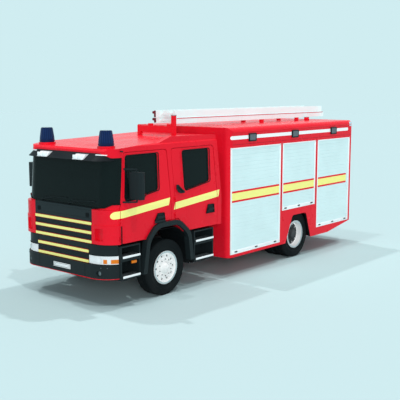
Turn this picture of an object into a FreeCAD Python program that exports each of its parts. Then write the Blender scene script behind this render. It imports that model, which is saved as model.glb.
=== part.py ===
import FreeCAD, Part
import math
import os
import re
import sys

import Sketcher

# Crew-cab fire engine, millimetres: +X forward, +Y to the vehicle's left, +Z up,
# origin on the ground below the middle of the vehicle.

SIZES = {
    # running gear
    "wheelbase": 4120,
    "front_overhang": 1390,
    "rear_overhang": 2440,
    "tyre_diameter": 1000,
    "tyre_width": 275,
    "shoulder_round": 45,
    "rim_diameter": 571,
    "rim_wall": 14,
    "rim_lip": 12,
    "disc_thickness": 16,
    "front_wheel_y": 1030,
    "rear_wheel_y": 1050,
    "twin_spacing": 320,
    "hub_radius": 110,
    "hub_length": 60,
    "spindle_radius": 38,
    "pin_fit": 0.3,
    "king_pin_y": 860,
    "king_pin_radius": 22,
    "king_boss_radius": 46,
    "king_boss_height": 90,
    "ear_thickness": 32,
    "ear_gap": 3,
    "steer_arm_length": 200,
    "steer_arm_width": 44,
    "steer_arm_thickness": 24,
    "track_rod_radius": 17,
    "track_rod_eye": 25,
    "rod_pin_radius": 10,
    "axle_beam_width": 100,
    "axle_beam_height": 88,
    "axle_drop": 70,
    "rear_axle_radius": 75,
    "diff_radius": 190,
    "diff_length": 300,
    "vent_radius": 21,
    "vent_count": 10,
    "nut_cap_radius": 62,
    "vent_circle": 212,
    "rear_dish": 105,
    # chassis
    "rail_half_width": 430,
    "rail_flange": 75,
    "rail_web": 9,
    "rail_bottom": 640,
    "rail_height": 250,
    "rail_front_setback": 190,
    "rail_rear_setback": 330,
    "cross_member": 90,
    "spring_width": 70,
    "spring_thickness": 46,
    "spring_half_length": 720,
    "spring_y": 395,
    "hanger": 60,
    "engine_length": 1250,
    "engine_half_width": 330,
    "engine_bottom": 560,
    "engine_ahead": 560,
    "engine_top_gap": 40,
    "shaft_radius": 48,
    "shaft_z": 620,
    # cab form
    "cab_ahead": 1340,
    "cab_gap": 160,
    "cab_half_width": 1190,
    "cab_floor": 1085,
    "cab_belt": 1660,
    "cab_top": 2765,
    "cab_wall": 60,
    "cab_corner": 360,
    "cab_corner_top": 220,
    "side_lean": 127,
    "screen_setback": 70,
    "screen_lean": 70,
    "eave_z": 2615,
    "brow_z": 2650,
    "brow_back": 175,
    "roof_knee_back": 760,
    "roof_knee_z": 2690,
    "shoulder_y": 1100,
    "shoulder_z": 2660,
    "shoulder_slope": 0.708,
    "ridge_inner": 950,
    "ridge_outer": 1050,
    "ridge_front": 1170,
    "ridge_back": 2140,
    "ridge_rise": 440,
    "ridge_top": 2800,
    "ridge_end": 2774,
    "glass_inset": 6,
    "glass_thickness": 8,
    "screen_top": 2510,
    "screen_bottom": 1672,
    "screen_side_bottom": 1750,
    "pillar_back": 275,
    "pillar_lean": 100,
    "pillar_width": 62,
    # doors
    "door_setback": 240,
    "front_door_length": 1230,
    "b_pillar": 100,
    "rear_door_length": 1190,
    "door_gap": 8,
    "door_sweep": 12,
    "door_top": 2595,
    "window_top": 2545,
    "window_bottom": 1800,
    "window_step": 52,
    "window_step_back": 555,
    "window_rear_z": 1907,
    "window_frame": 39,
    "window_round": 60,
    "front_window_back": 925,
    "window_lean": 55,
    "rear_window_front": 265,
    "rear_window_length": 715,
    "rear_window_front_z": 1825,
    "rear_window_rear_z": 1932,
    "door_wall_reach": 900,
    "hinge_radius": 12,
    "hinge_pin_radius": 7,
    "hinge_eye": 26,
    "hinge_arm": 30,
    "hinge_root": 45,
    "hinge_gap": 4,
    "front_hinge_y": 1190,
    "rear_hinge_y": 1205,
    "front_hinge_low": 1180,
    "front_hinge_high": 1445,
    "rear_hinge_low": 1410,
    "rear_hinge_high": 1700,
    "handle_depth": 22,
    "handle_top": 1505,
    "front_handle_low": 1375,
    "front_handle_x": 785,
    "front_handle_length": 265,
    "front_handle_slant": 80,
    "rear_handle_low": 1335,
    "rear_handle_x": 840,
    "rear_handle_length": 243,
    "rear_handle_slant": 60,
    # front arch and its flare
    "arch_front": 640,
    "arch_rear": 680,
    "arch_foot_front": 500,
    "arch_foot_rear": 550,
    "arch_shoulder_z": 1080,
    "arch_top": 1335,
    "arch_crown": 300,
    "arch_round": 300,
    "flare_width": 82,
    "flare_out": 55,
    "flare_depth": 60,
    "arch_inner_y": 520,
    "well_wall": 30,
    "well_top": 1400,
    # front end
    "grille_half_width": 745,
    "grille_top": 1660,
    "grille_recess": 34,
    "slat_height": 46,
    "slat_proud": 12,
    "low_slat_half": 665,
    "slat_top_z": 1420,
    "slat_pitch": 155,
    "low_slat_z": 947,
    "low_slat_pitch": 172,
    "cowl_height": 15,
    "panel_proud": 13,
    "panel_top": 1400,
    "slot_y": 900,
    "slot_half": 80,
    "slot_bottom": 1145,
    "slot_top": 1350,
    "slot_depth": 45,
    "bumper_top": 740,
    "bumper_bottom": 500,
    "bumper_wall": 90,
    "bumper_corner": 450,
    "bumper_back": 560,
    "apron_setback": 40,
    "apron_gap": 12,
    "plate_half": 229,
    "plate_bottom": 569,
    "plate_height": 92,
    "plate_depth": 8,
    "fog_y": 908,
    "fog_z": 598,
    "fog_radius": 48,
    "fog_depth": 100,
    "fog_length": 40,
    "bumper_reach": 220,
    "lamp_bottom": 745,
    "lamp_top": 895,
    "lamp_inner_y": 680,
    "lamp_proud": 6,
    "lamp_depth": 60,
    "marker_y": 466,
    "marker_half_length": 125,
    "marker_z": 2475,
    "marker_height": 85,
    "marker_foot": 25,
    "marker_head": 60,
    "visor_reach": 40,
    "visor_half": 1073,
    "visor_corner": 360,
    "visor_bottom": 2465,
    "visor_top": 2580,
    "visor_back": 125,
    "visor_narrow": 60,
    "visor_thickness": 15,
    "visor_length": 400,
    # steps
    "step_half_width": 1190,
    "step_depth": 330,
    "front_step_length": 460,
    "rear_step_front": 740,
    "rear_step_length": 560,
    "step_bottom": 470,
    "step_top": 1050,
    "tread_thickness": 22,
    "tread_out": 26,
    "upper_tread_z": 830,
    "step_wall": 25,
    # beacons, mirrors
    "beacon_y": 770,
    "beacon_back": 327,
    "beacon_base_radius": 130,
    "beacon_top_radius": 102,
    "beacon_bottom": 2692,
    "beacon_height": 262,
    "beacon_pad_radius": 150,
    "mirror_y": 1325,
    "mirror_width": 280,
    "mirror_thickness": 130,
    "mirror_bottom": 1830,
    "mirror_height": 450,
    "mirror_back": 480,
    "mirror_round": 40,
    "mirror_arm": 13,
    "mirror_arm_gap": 45,
    # body
    "body_ahead": 2420,
    "body_length": 4665,
    "body_half_width": 1250,
    "body_bottom": 375,
    "body_top": 2900,
    "body_wall": 50,
    "body_roof_round": 90,
    "body_corner_round": 120,
    "kick_length": 980,
    "kick_rise": 155,
    "tunnel_half_width": 500,
    "tunnel_top": 960,
    "body_arch_front": 500,
    "body_arch_rear": 560,
    "body_arch_crown_front": 200,
    "body_arch_crown_rear": 330,
    "body_arch_top": 950,
    "arch_pan": 1095,
    "arch_pan_front": 600,
    "arch_pan_rear": 640,
    # shutters
    "shutter_top": 2510,
    "shutter_recess": 12,
    "shutter_thickness": 24,
    "shutter_play": 3,
    "slat_groove_pitch": 74,
    "slat_groove_width": 10,
    "slat_groove_depth": 5,
    "slat_margin": 74,
    "shutter_1_start": 60,
    "shutter_1_length": 1680,
    "shutter_1_bottom": 440,
    "shutter_2_start": 1810,
    "shutter_2_length": 1290,
    "shutter_2_bottom": 1100,
    "shutter_3_start": 3180,
    "shutter_3_length": 1415,
    "shutter_3_bottom": 555,
    "rear_shutter_half": 760,
    "rear_shutter_bottom": 1010,
    # rear end
    "rear_step_z": 560,
    "rear_step_height": 60,
    "rear_step_half": 1150,
    "jaw_front": 420,
    "jaw_half": 60,
    "jaw_bottom": 460,
    "jaw_height": 90,
    "jaw_slot": 40,
    "jaw_slot_length": 140,
    "jaw_pin_x": 100,
    "jaw_pin_radius": 16,
    "rear_lamp_y": 1010,
    "rear_lamp_half": 75,
    "rear_lamp_bottom": 760,
    "rear_lamp_height": 420,
    "rear_lamp_depth": 55,
    "corner_lamp_length": 170,
    "corner_lamp_height": 75,
    "corner_lamp_depth": 40,
    "side_lamp_length": 225,
    "side_lamp_height": 145,
    "side_lamp_depth": 22,
    "side_lamp_z": 2695,
    "side_lamp_1": 727,
    "side_lamp_2": 2247,
    "side_lamp_3": 3825,
    # ladder
    "ladder_centre_y": 130,
    "ladder_half_width": 280,
    "ladder_inner_half": 262,
    "ladder_rail_width": 35,
    "ladder_rail_height": 105,
    "upper_rail_height": 140,
    "ladder_z": 2975,
    "ladder_front": 580,
    "ladder_length": 5360,
    "upper_ladder_length": 5300,
    "rung_size": 30,
    "rung_count": 19,
    "rung_edge": 150,
    "pad_length": 90,
    "pad_width": 60,
    "pads_1": 2255,
    "pads_2": 3640,
    "post_back": 2320,
    "post_size": 70,
    "post_inner": 450,
    "post_outer": 520,
    "post_top": 3140,
    "post_bar_end": 440,
    "post_bar_depth": 160,
    "post_bar_drop": 40,
    # inside
    "seat_width": 480,
    "seat_depth": 480,
    "seat_height": 300,
    "seat_back": 620,
    "seat_thickness": 130,
    "seat_y": 640,
    "front_seat_back": 1330,
    "rear_seat_gap": 60,
    "bench_half_width": 1000,
    "dash_depth": 520,
    "dash_half_width": 780,
    "dash_top": 1620,
    "dash_height": 330,
    "wheel_radius": 225,
    "wheel_rim": 17,
    "wheel_back": 540,
    "wheel_z": 1700,
    "wheel_y": 640,
    "tank_length": 1500,
    "tank_half_width": 480,
    "tank_height": 1150,
    # shared
    "overrun": 80,
    "seat_clear": 0.3,
}

doc = FreeCAD.newDocument("fire_engine")
sheet = doc.addObject("Spreadsheet::Sheet", "size")
for row, (name, value) in enumerate(SIZES.items(), 1):
    sheet.set(f"A{row}", name)
    sheet.set(f"B{row}", str(value))
    sheet.setAlias(f"B{row}", name)
doc.recompute()
NODES = []

# Stations along the vehicle
FRONT = "((front_overhang + wheelbase + rear_overhang) / 2)"
FRONT_AXLE = f"({FRONT} - front_overhang)"
REAR_AXLE = f"({FRONT_AXLE} - wheelbase)"
REAR = f"({FRONT} - front_overhang - wheelbase - rear_overhang)"
AXLE_Z = "(tyre_diameter / 2)"
BODY_FRONT = f"({REAR_AXLE} + body_ahead)"
BODY_REAR = f"({BODY_FRONT} - body_length)"
CAB_FRONT = f"({FRONT_AXLE} + cab_ahead)"
CAB_REAR = f"({BODY_FRONT} + cab_gap)"
RAIL_TOP = "(rail_bottom + rail_height)"
FRONT_DOOR = f"({CAB_FRONT} - door_setback)"
FRONT_DOOR_REAR = f"({FRONT_DOOR} - front_door_length)"
REAR_DOOR = f"({FRONT_DOOR_REAR} - b_pillar)"
REAR_DOOR_REAR = f"({REAR_DOOR} - rear_door_length)"
GEARBOX_REAR = f"({FRONT_AXLE} + engine_ahead - engine_length * 1.5)"
BUMPER_REAR = f"({CAB_FRONT} - bumper_reach)"


# Helpers

def bound(text):
    """An expression in which every named size refers to its cell."""
    return re.sub(r"[a-z_][a-z0-9_]*",
                  lambda word: "size." + word[0] if word[0] in SIZES else word[0], str(text))


def number(text):
    return float(sheet.evalExpression(bound(text)))


def bind(thing, **sizes):
    for key, text in sizes.items():
        thing.setExpression(key.replace("__", "."), bound(text))
    return thing


def origin_part(body, role):
    return next(part for part in body.Origin.OriginFeatures if part.Role == role)


def outline(body, role, points, offset="0"):
    """A closed, fully bound sketch: points are (a, b) or (a, b, corner radius)."""
    sketch = body.newObject("Sketcher::SketchObject", "outline")
    sketch.AttachmentSupport = (origin_part(body, role), [""])
    sketch.MapMode = "FlatFace"
    sketch.setExpression("AttachmentOffset.Base.z", bound(offset))
    at = [FreeCAD.Vector(number(point[0]), number(point[1]), 0) for point in points]
    radii = [number(point[2]) if len(point) > 2 else 0 for point in points]
    count = len(points)
    ends, arcs = [], {}
    for i in range(count):
        back = (at[i - 1] - at[i]).normalize()
        ahead = (at[(i + 1) % count] - at[i]).normalize()
        half = back.getAngle(ahead) / 2
        reach = radii[i] / math.tan(half)
        ends.append((at[i] + back * reach, at[i] + ahead * reach))
        if radii[i]:
            middle = at[i] + (back + ahead).normalize() * (radii[i] / math.sin(half) - radii[i])
            arcs[i] = Part.Arc(ends[i][0], middle, ends[i][1])
    for i in range(count):
        sketch.addGeometry(Part.LineSegment(ends[i][1], ends[(i + 1) % count][0]), False)
    for i in range(count):
        last, corner = (i - 1) % count, i
        if i in arcs:
            arc = sketch.addGeometry(arcs[i], False)
            corner = sketch.addGeometry(Part.Point(at[i]), True)
            start = sketch.Geometry[arc].StartPoint
            forward = start.distanceToPoint(ends[i][0]) < start.distanceToPoint(ends[i][1])
            first, second = (1, 2) if forward else (2, 1)
            sketch.addConstraint(Sketcher.Constraint("Tangent", last, 2, arc, first))
            sketch.addConstraint(Sketcher.Constraint("Tangent", arc, second, i, 1))
            sketch.addConstraint(Sketcher.Constraint("PointOnObject", corner, 1, last))
            sketch.addConstraint(Sketcher.Constraint("PointOnObject", corner, 1, i))
            held = sketch.addConstraint(Sketcher.Constraint("Radius", arc, radii[i]))
            sketch.setExpression(f"Constraints[{held}]", bound(points[i][2]))
        else:
            sketch.addConstraint(Sketcher.Constraint("Coincident", last, 2, i, 1))
        for kind, side in (("DistanceX", 0), ("DistanceY", 1)):
            held = sketch.addConstraint(
                Sketcher.Constraint(kind, -1, 1, corner, 1, at[i][side]))
            sketch.setExpression(f"Constraints[{held}]", bound(points[i][side]))
    return sketch


def pad(name, role, points, offset, length):
    body = doc.addObject("PartDesign::Body", name)
    feature = body.newObject("PartDesign::Pad", "pad")
    feature.Profile = outline(body, role, points, offset)
    feature.setExpression("Length", bound(length))
    body.Tip = feature
    return body


def plan(name, points, low, high):
    """A plan-view outline (x, y) carried from z = low to z = high."""
    return pad(name, "XY_Plane", points, low, f"{high} - ({low})")


def side(name, points, right, left):
    """A side-view outline (x, z) carried from y = right to y = left."""
    return pad(name, "XZ_Plane", points, f"-({left})", f"{left} - ({right})")


def section(name, points, rear, front):
    """A front-view outline (y, z) carried from x = rear to x = front."""
    return pad(name, "YZ_Plane", points, rear, f"{front} - ({rear})")


def loft(name, lower, low, upper, high):
    """A straight loft between two plan-view outlines."""
    body = doc.addObject("PartDesign::Body", name)
    first = outline(body, "XY_Plane", lower, low)
    second = outline(body, "XY_Plane", upper, high)
    feature = body.newObject("PartDesign::AdditiveLoft", "loft")
    feature.Profile = first
    feature.Sections = [second]
    feature.Ruled = True
    body.Tip = feature
    return body


def revolve(name, role, axis, points, place):
    """A turned piece whose sketch has its radius along x."""
    body = doc.addObject("PartDesign::Body", name)
    feature = body.newObject("PartDesign::Revolution", "turned")
    feature.Profile = outline(body, role, points)
    feature.ReferenceAxis = (origin_part(body, axis), [""])
    feature.Angle = 360
    body.Tip = feature
    return put(body, *place)


def put(thing, x, y, z):
    return bind(thing, Placement__Base__x=x, Placement__Base__y=y, Placement__Base__z=z)


def wheel_turned(name, points, x, y):
    """Turned about the wheel's axle: points are (radius, distance outward)."""
    return revolve(name, "XY_Plane", "Y_Axis", points, (x, y, AXLE_Z))


def box(name, x, y, z):
    """A block between pairs of x, y and z."""
    block = doc.addObject("Part::Box", name)
    bind(block, Length=f"{x[1]} - ({x[0]})", Width=f"{y[1]} - ({y[0]})", Height=f"{z[1]} - ({z[0]})")
    return put(block, x[0], y[0], z[0])


TURN = {"z": FreeCAD.Rotation(),
        "y": FreeCAD.Rotation(FreeCAD.Vector(1, 0, 0), -90),
        "x": FreeCAD.Rotation(FreeCAD.Vector(0, 1, 0), 90)}


def rod(name, radius, length, x, y, z, axis="z"):
    piece = doc.addObject("Part::Cylinder", name)
    piece.Placement.Rotation = TURN[axis]
    bind(piece, Radius=radius, Height=length)
    return put(piece, x, y, z)


def cut(name, base, *tools):
    piece = doc.addObject("Part::Cut", name)
    piece.Base = base
    piece.Tool = tools[0] if len(tools) == 1 else fuse(name + "_cutters", *tools)
    return piece


def many(kind, name, parts):
    piece = doc.addObject(kind, name)
    piece.Shapes = list(parts)
    return piece


def fuse(name, *parts):
    return many("Part::MultiFuse", name, parts)


def common(name, *parts):
    return many("Part::MultiCommon", name, parts)


def group(name, *parts):
    piece = doc.addObject("Part::Compound", name)
    piece.Links = list(parts)
    return piece


def mirrored(name, part):
    piece = doc.addObject("Part::Mirroring", name)
    piece.Source = part
    piece.Normal = FreeCAD.Vector(0, 1, 0)
    return piece


def pair(name, part):
    return group(name, part, mirrored(name + "_other", part))


def node(label, part):
    part.Label = label
    NODES.append(part)
    return part


def rectangle(a, b, corner=None):
    points = [(a[0], b[0]), (a[1], b[0]), (a[1], b[1]), (a[0], b[1])]
    return [point + (corner,) for point in points] if corner else points


# Wheels, knuckles and axles

def tyre(name, x, y):
    half, bead, tread = "tyre_width / 2", "rim_diameter / 2", "tyre_diameter / 2"
    lip = f"{bead} + rim_lip * 1.2"
    return wheel_turned(name, [
        (bead, f"-{half} * 0.9"), (lip, f"-{half} * 0.9"), (f"({bead} + {tread}) / 2", f"-({half})"),
        (tread, f"-({half})", "shoulder_round"), (tread, half, "shoulder_round"),
        (f"({bead} + {tread}) / 2", half), (lip, f"{half} * 0.9"), (bead, f"{half} * 0.9")], x, y)


def with_vents(body):
    """A ring of round vents bored through a rim's disc."""
    sketch = body.newObject("Sketcher::SketchObject", "vent")
    sketch.AttachmentSupport = (origin_part(body, "XZ_Plane"), [""])
    sketch.MapMode = "FlatFace"
    at = FreeCAD.Vector(number("vent_circle"), 0, 0)
    ring = sketch.addGeometry(Part.Circle(at, FreeCAD.Vector(0, 0, 1), number("vent_radius")), False)
    sketch.addConstraint(Sketcher.Constraint("PointOnObject", ring, 3, -1))
    for kind, geometry, text in (("Radius", (ring,), "vent_radius"),
                                 ("DistanceX", (-1, 1, ring, 3), "vent_circle")):
        held = sketch.addConstraint(Sketcher.Constraint(kind, *geometry, number(text)))
        sketch.setExpression(f"Constraints[{held}]", bound(text))
    hole = body.newObject("PartDesign::Pocket", "vent_hole")
    hole.Profile = sketch
    hole.Type = "ThroughAll"
    hole.Midplane = True
    circle = body.newObject("PartDesign::PolarPattern", "vents")
    circle.Originals = [hole]
    circle.Axis = (origin_part(body, "Y_Axis"), [""])
    circle.Angle = 360
    circle.setExpression("Occurrences", bound("vent_count"))
    body.Tip = circle
    return body


def front_rim(name):
    half, edge = "(tyre_width / 2)", "rim_diameter / 2"
    inner = f"({edge} - rim_wall)"
    bore = "(spindle_radius + pin_fit)"
    body = wheel_turned(name, [
        (edge, f"-{half} * 0.9"), (edge, f"{half} * 0.9"), (f"{edge} + rim_lip", f"{half} * 0.9"),
        (f"{edge} + rim_lip", f"{half} * 0.9 + rim_lip"), (inner, f"{half} * 0.9 + rim_lip"),
        (f"{inner} - rim_wall", f"{half} * 0.75"), ("hub_radius", f"{half} * 0.75"),
        ("nut_cap_radius", f"{half} * 0.75 + hub_length"), (bore, f"{half} * 0.75 + hub_length"),
        (bore, f"{half} * 0.75 - disc_thickness"),
        (inner, f"{half} * 0.75 - disc_thickness"), (inner, f"-{half} * 0.9")],
        FRONT_AXLE, "front_wheel_y")
    return with_vents(body)


def rear_rim(name):
    half, edge = "(tyre_width / 2)", "rim_diameter / 2"
    inner = f"({edge} - rim_wall)"
    outer, twin = f"({half} * 0.9)", f"(-twin_spacing - {half} * 0.9)"
    bore = "(rear_axle_radius * 0.6)"
    face = f"({outer} - rear_dish)"
    return with_vents(wheel_turned(name, [
        (edge, twin), (edge, outer), (f"{edge} + rim_lip", outer),
        (f"{edge} + rim_lip", f"{outer} + rim_lip"), (inner, f"{outer} + rim_lip"),
        (f"{inner} - rim_wall", face), ("hub_radius", face),
        ("hub_radius * 0.8", f"{face} + rear_dish * 0.8"), (bore, f"{face} + rear_dish * 0.8"),
        (bore, f"{face} - disc_thickness"), (inner, f"{face} - disc_thickness"),
        (inner, twin)], REAR_AXLE, "rear_wheel_y"))


def knuckle():
    ear_low = f"{AXLE_Z} - king_boss_height / 2 - ear_gap - ear_thickness"
    ear_high = f"{AXLE_Z} + king_boss_height / 2 + ear_gap"
    total = "king_boss_height + 2 * ear_gap + 2 * ear_thickness"
    pin = rod("king_pin", "king_pin_radius", total, FRONT_AXLE, "king_pin_y", ear_low)
    parts = [pin]
    plate_y = "(king_pin_y + king_boss_radius + ear_gap)"
    for low in (ear_low, ear_high):
        parts.append(rod("ear", "king_boss_radius", "ear_thickness",
                         FRONT_AXLE, "king_pin_y", low))
        parts.append(box("ear_arm",
                         (f"{FRONT_AXLE} - king_boss_radius", f"{FRONT_AXLE} + king_boss_radius"),
                         ("king_pin_y", plate_y), (low, f"{low} + ear_thickness")))
    parts.append(box("knuckle_plate",
                     (f"{FRONT_AXLE} - king_boss_radius", f"{FRONT_AXLE} + king_boss_radius"),
                     (plate_y, f"{plate_y} + ear_thickness"), (ear_low, f"{ear_low} + {total}")))
    tip = "front_wheel_y + tyre_width / 2 * 0.75 + hub_length"
    parts.append(rod("spindle", "spindle_radius", f"{tip} - {plate_y}",
                     FRONT_AXLE, plate_y, AXLE_Z, "y"))
    arm_low = f"({ear_low})"
    parts.append(box("steer_arm",
                     (f"{FRONT_AXLE} - steer_arm_length", FRONT_AXLE),
                     ("king_pin_y - steer_arm_width / 2", "king_pin_y + steer_arm_width / 2"),
                     (arm_low, f"{arm_low} + steer_arm_thickness")))
    parts.append(rod("steer_arm_end", "track_rod_eye", "steer_arm_thickness",
                     f"{FRONT_AXLE} - steer_arm_length", "king_pin_y", arm_low))
    bore = rod("steer_arm_bore", "rod_pin_radius + pin_fit", "steer_arm_thickness + 2 * overrun",
               f"{FRONT_AXLE} - steer_arm_length", "king_pin_y", f"{arm_low} - overrun")
    return cut("knuckle_l", fuse("knuckle_blank", *parts), bore)


def track_rod():
    top = f"({AXLE_Z} - king_boss_height / 2 - ear_gap - ear_thickness - ear_gap)"
    x = f"{FRONT_AXLE} - steer_arm_length"
    height = "(track_rod_radius * 2.4)"
    bar = rod("bar", "track_rod_radius", "2 * king_pin_y", x, "-king_pin_y",
              f"{top} - {height} / 2", "y")
    parts = [bar]
    for y in ("king_pin_y", "-king_pin_y"):
        parts.append(rod("rod_eye", "track_rod_eye", height, x, y, f"{top} - {height}"))
        parts.append(rod("rod_pin", "rod_pin_radius", "ear_gap + steer_arm_thickness", x, y, top))
    return fuse("track_rod", *parts)


def front_axle():
    low, high = f"{AXLE_Z} - king_boss_height / 2", f"{AXLE_Z} + king_boss_height / 2"
    foot = "(spring_y + spring_width)"
    end = "king_pin_y"
    half = [(end, low), (end, high), (f"{foot} + axle_drop", high), (foot, f"{high} - axle_drop")]
    inner = [(foot, f"{low} - axle_drop"), (f"{foot} + axle_drop", low)]
    points = half + [(f"-({y})", z) for y, z in reversed(half)]
    points += [(f"-({y})", z) for y, z in reversed(inner)] + inner
    beam = section("axle_beam", points, f"{FRONT_AXLE} - axle_beam_width / 2",
                   f"{FRONT_AXLE} + axle_beam_width / 2")
    bosses, bores = [], []
    for y in ("king_pin_y", "-king_pin_y"):
        bosses.append(rod("boss", "king_boss_radius", "king_boss_height", FRONT_AXLE, y, low))
        bores.append(rod("bore", "king_pin_radius + pin_fit", "king_boss_height + 2 * overrun",
                         FRONT_AXLE, y, f"{low} - overrun"))
    blank = cut("beam_trimmed", beam,
                *[box("beam_end", (f"{FRONT_AXLE} - overrun * 2", f"{FRONT_AXLE} + overrun * 2"),
                      (a, b), (f"{low} - overrun", f"{high} + overrun"))
                  for a, b in (("king_pin_y", "king_pin_y + overrun"),
                               ("-king_pin_y - overrun", "-king_pin_y"))])
    return cut("front_axle", fuse("beam_with_bosses", blank, *bosses), *bores)


def rear_axle():
    reach = "(rear_wheel_y + tyre_width / 2 * 0.9 - rear_dish * 0.2)"
    tube_end = "(rear_wheel_y - twin_spacing - tyre_width / 2 - overrun)"
    tube = rod("axle_tube", "rear_axle_radius", f"2 * {tube_end}", REAR_AXLE,
               f"-{tube_end}", AXLE_Z, "y")
    shaft = rod("axle_shaft", "rear_axle_radius * 0.6 - pin_fit", f"2 * {reach}", REAR_AXLE,
                f"-{reach}", AXLE_Z, "y")
    middle = revolve("differential", "XY_Plane", "Y_Axis", [
        ("0", "-diff_length / 2"), ("diff_radius * 0.6", "-diff_length / 2"),
        ("diff_radius", "-diff_length / 6"), ("diff_radius", "diff_length / 6"),
        ("diff_radius * 0.6", "diff_length / 2"), ("0", "diff_length / 2")],
        (REAR_AXLE, "0", AXLE_Z))
    prop = rod("prop_shaft", "shaft_radius", f"{GEARBOX_REAR} - {REAR_AXLE}", REAR_AXLE, "0",
               "shaft_z", "x")
    return fuse("rear_axle", tube, shaft, middle, prop)


def leaf_spring(name, x, seat_z):
    """One leaf pack from its seat on the axle to its two hangers under the rail."""
    low = f"({seat_z})"
    top = "rail_bottom"
    half = "spring_half_length"
    flat = "(spring_width)"
    points = [(f"{x} - {flat}", low), (f"{x} + {flat}", low),
              (f"{x} + {half}", f"{top} - spring_thickness"), (f"{x} + {half}", top),
              (f"{x} + {half} - hanger", top),
              (f"{x} + {flat}", f"{low} + spring_thickness"),
              (f"{x} - {flat}", f"{low} + spring_thickness"),
              (f"{x} - {half} + hanger", top), (f"{x} - {half}", top),
              (f"{x} - {half}", f"{top} - spring_thickness")]
    return side(name, points, "spring_y - spring_width / 2", "spring_y + spring_width / 2")


def running_gear():
    node("tyre_front_left", tyre("tyre_fl", FRONT_AXLE, "front_wheel_y"))
    node("tyre_front_right", mirrored("tyre_fr", NODES[-1]))
    twins = group("tyres_rl", tyre("tyre_outer", REAR_AXLE, "rear_wheel_y"),
                  tyre("tyre_inner", REAR_AXLE, "rear_wheel_y - twin_spacing"))
    node("tyres_rear_left", twins)
    node("tyres_rear_right", mirrored("tyres_rr", twins))
    node("rim_front_left", front_rim("rim_fl"))
    node("rim_front_right", mirrored("rim_fr", NODES[-1]))
    node("rims_rear_left", rear_rim("rim_rl"))
    node("rims_rear_right", mirrored("rim_rr", NODES[-1]))
    node("knuckle_left", knuckle())
    node("knuckle_right", mirrored("knuckle_r", NODES[-1]))
    node("track_rod", track_rod())
    node("front_axle", front_axle())
    node("rear_axle", rear_axle())
    front_seat = f"{AXLE_Z} + king_boss_height / 2 - axle_drop"
    rear_seat = f"{AXLE_Z} + rear_axle_radius"
    springs = group("springs_left", leaf_spring("front_spring", FRONT_AXLE, front_seat),
                    leaf_spring("rear_spring", REAR_AXLE, rear_seat))
    node("leaf_springs", pair("leaf_springs_all", springs))


# Chassis

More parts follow.
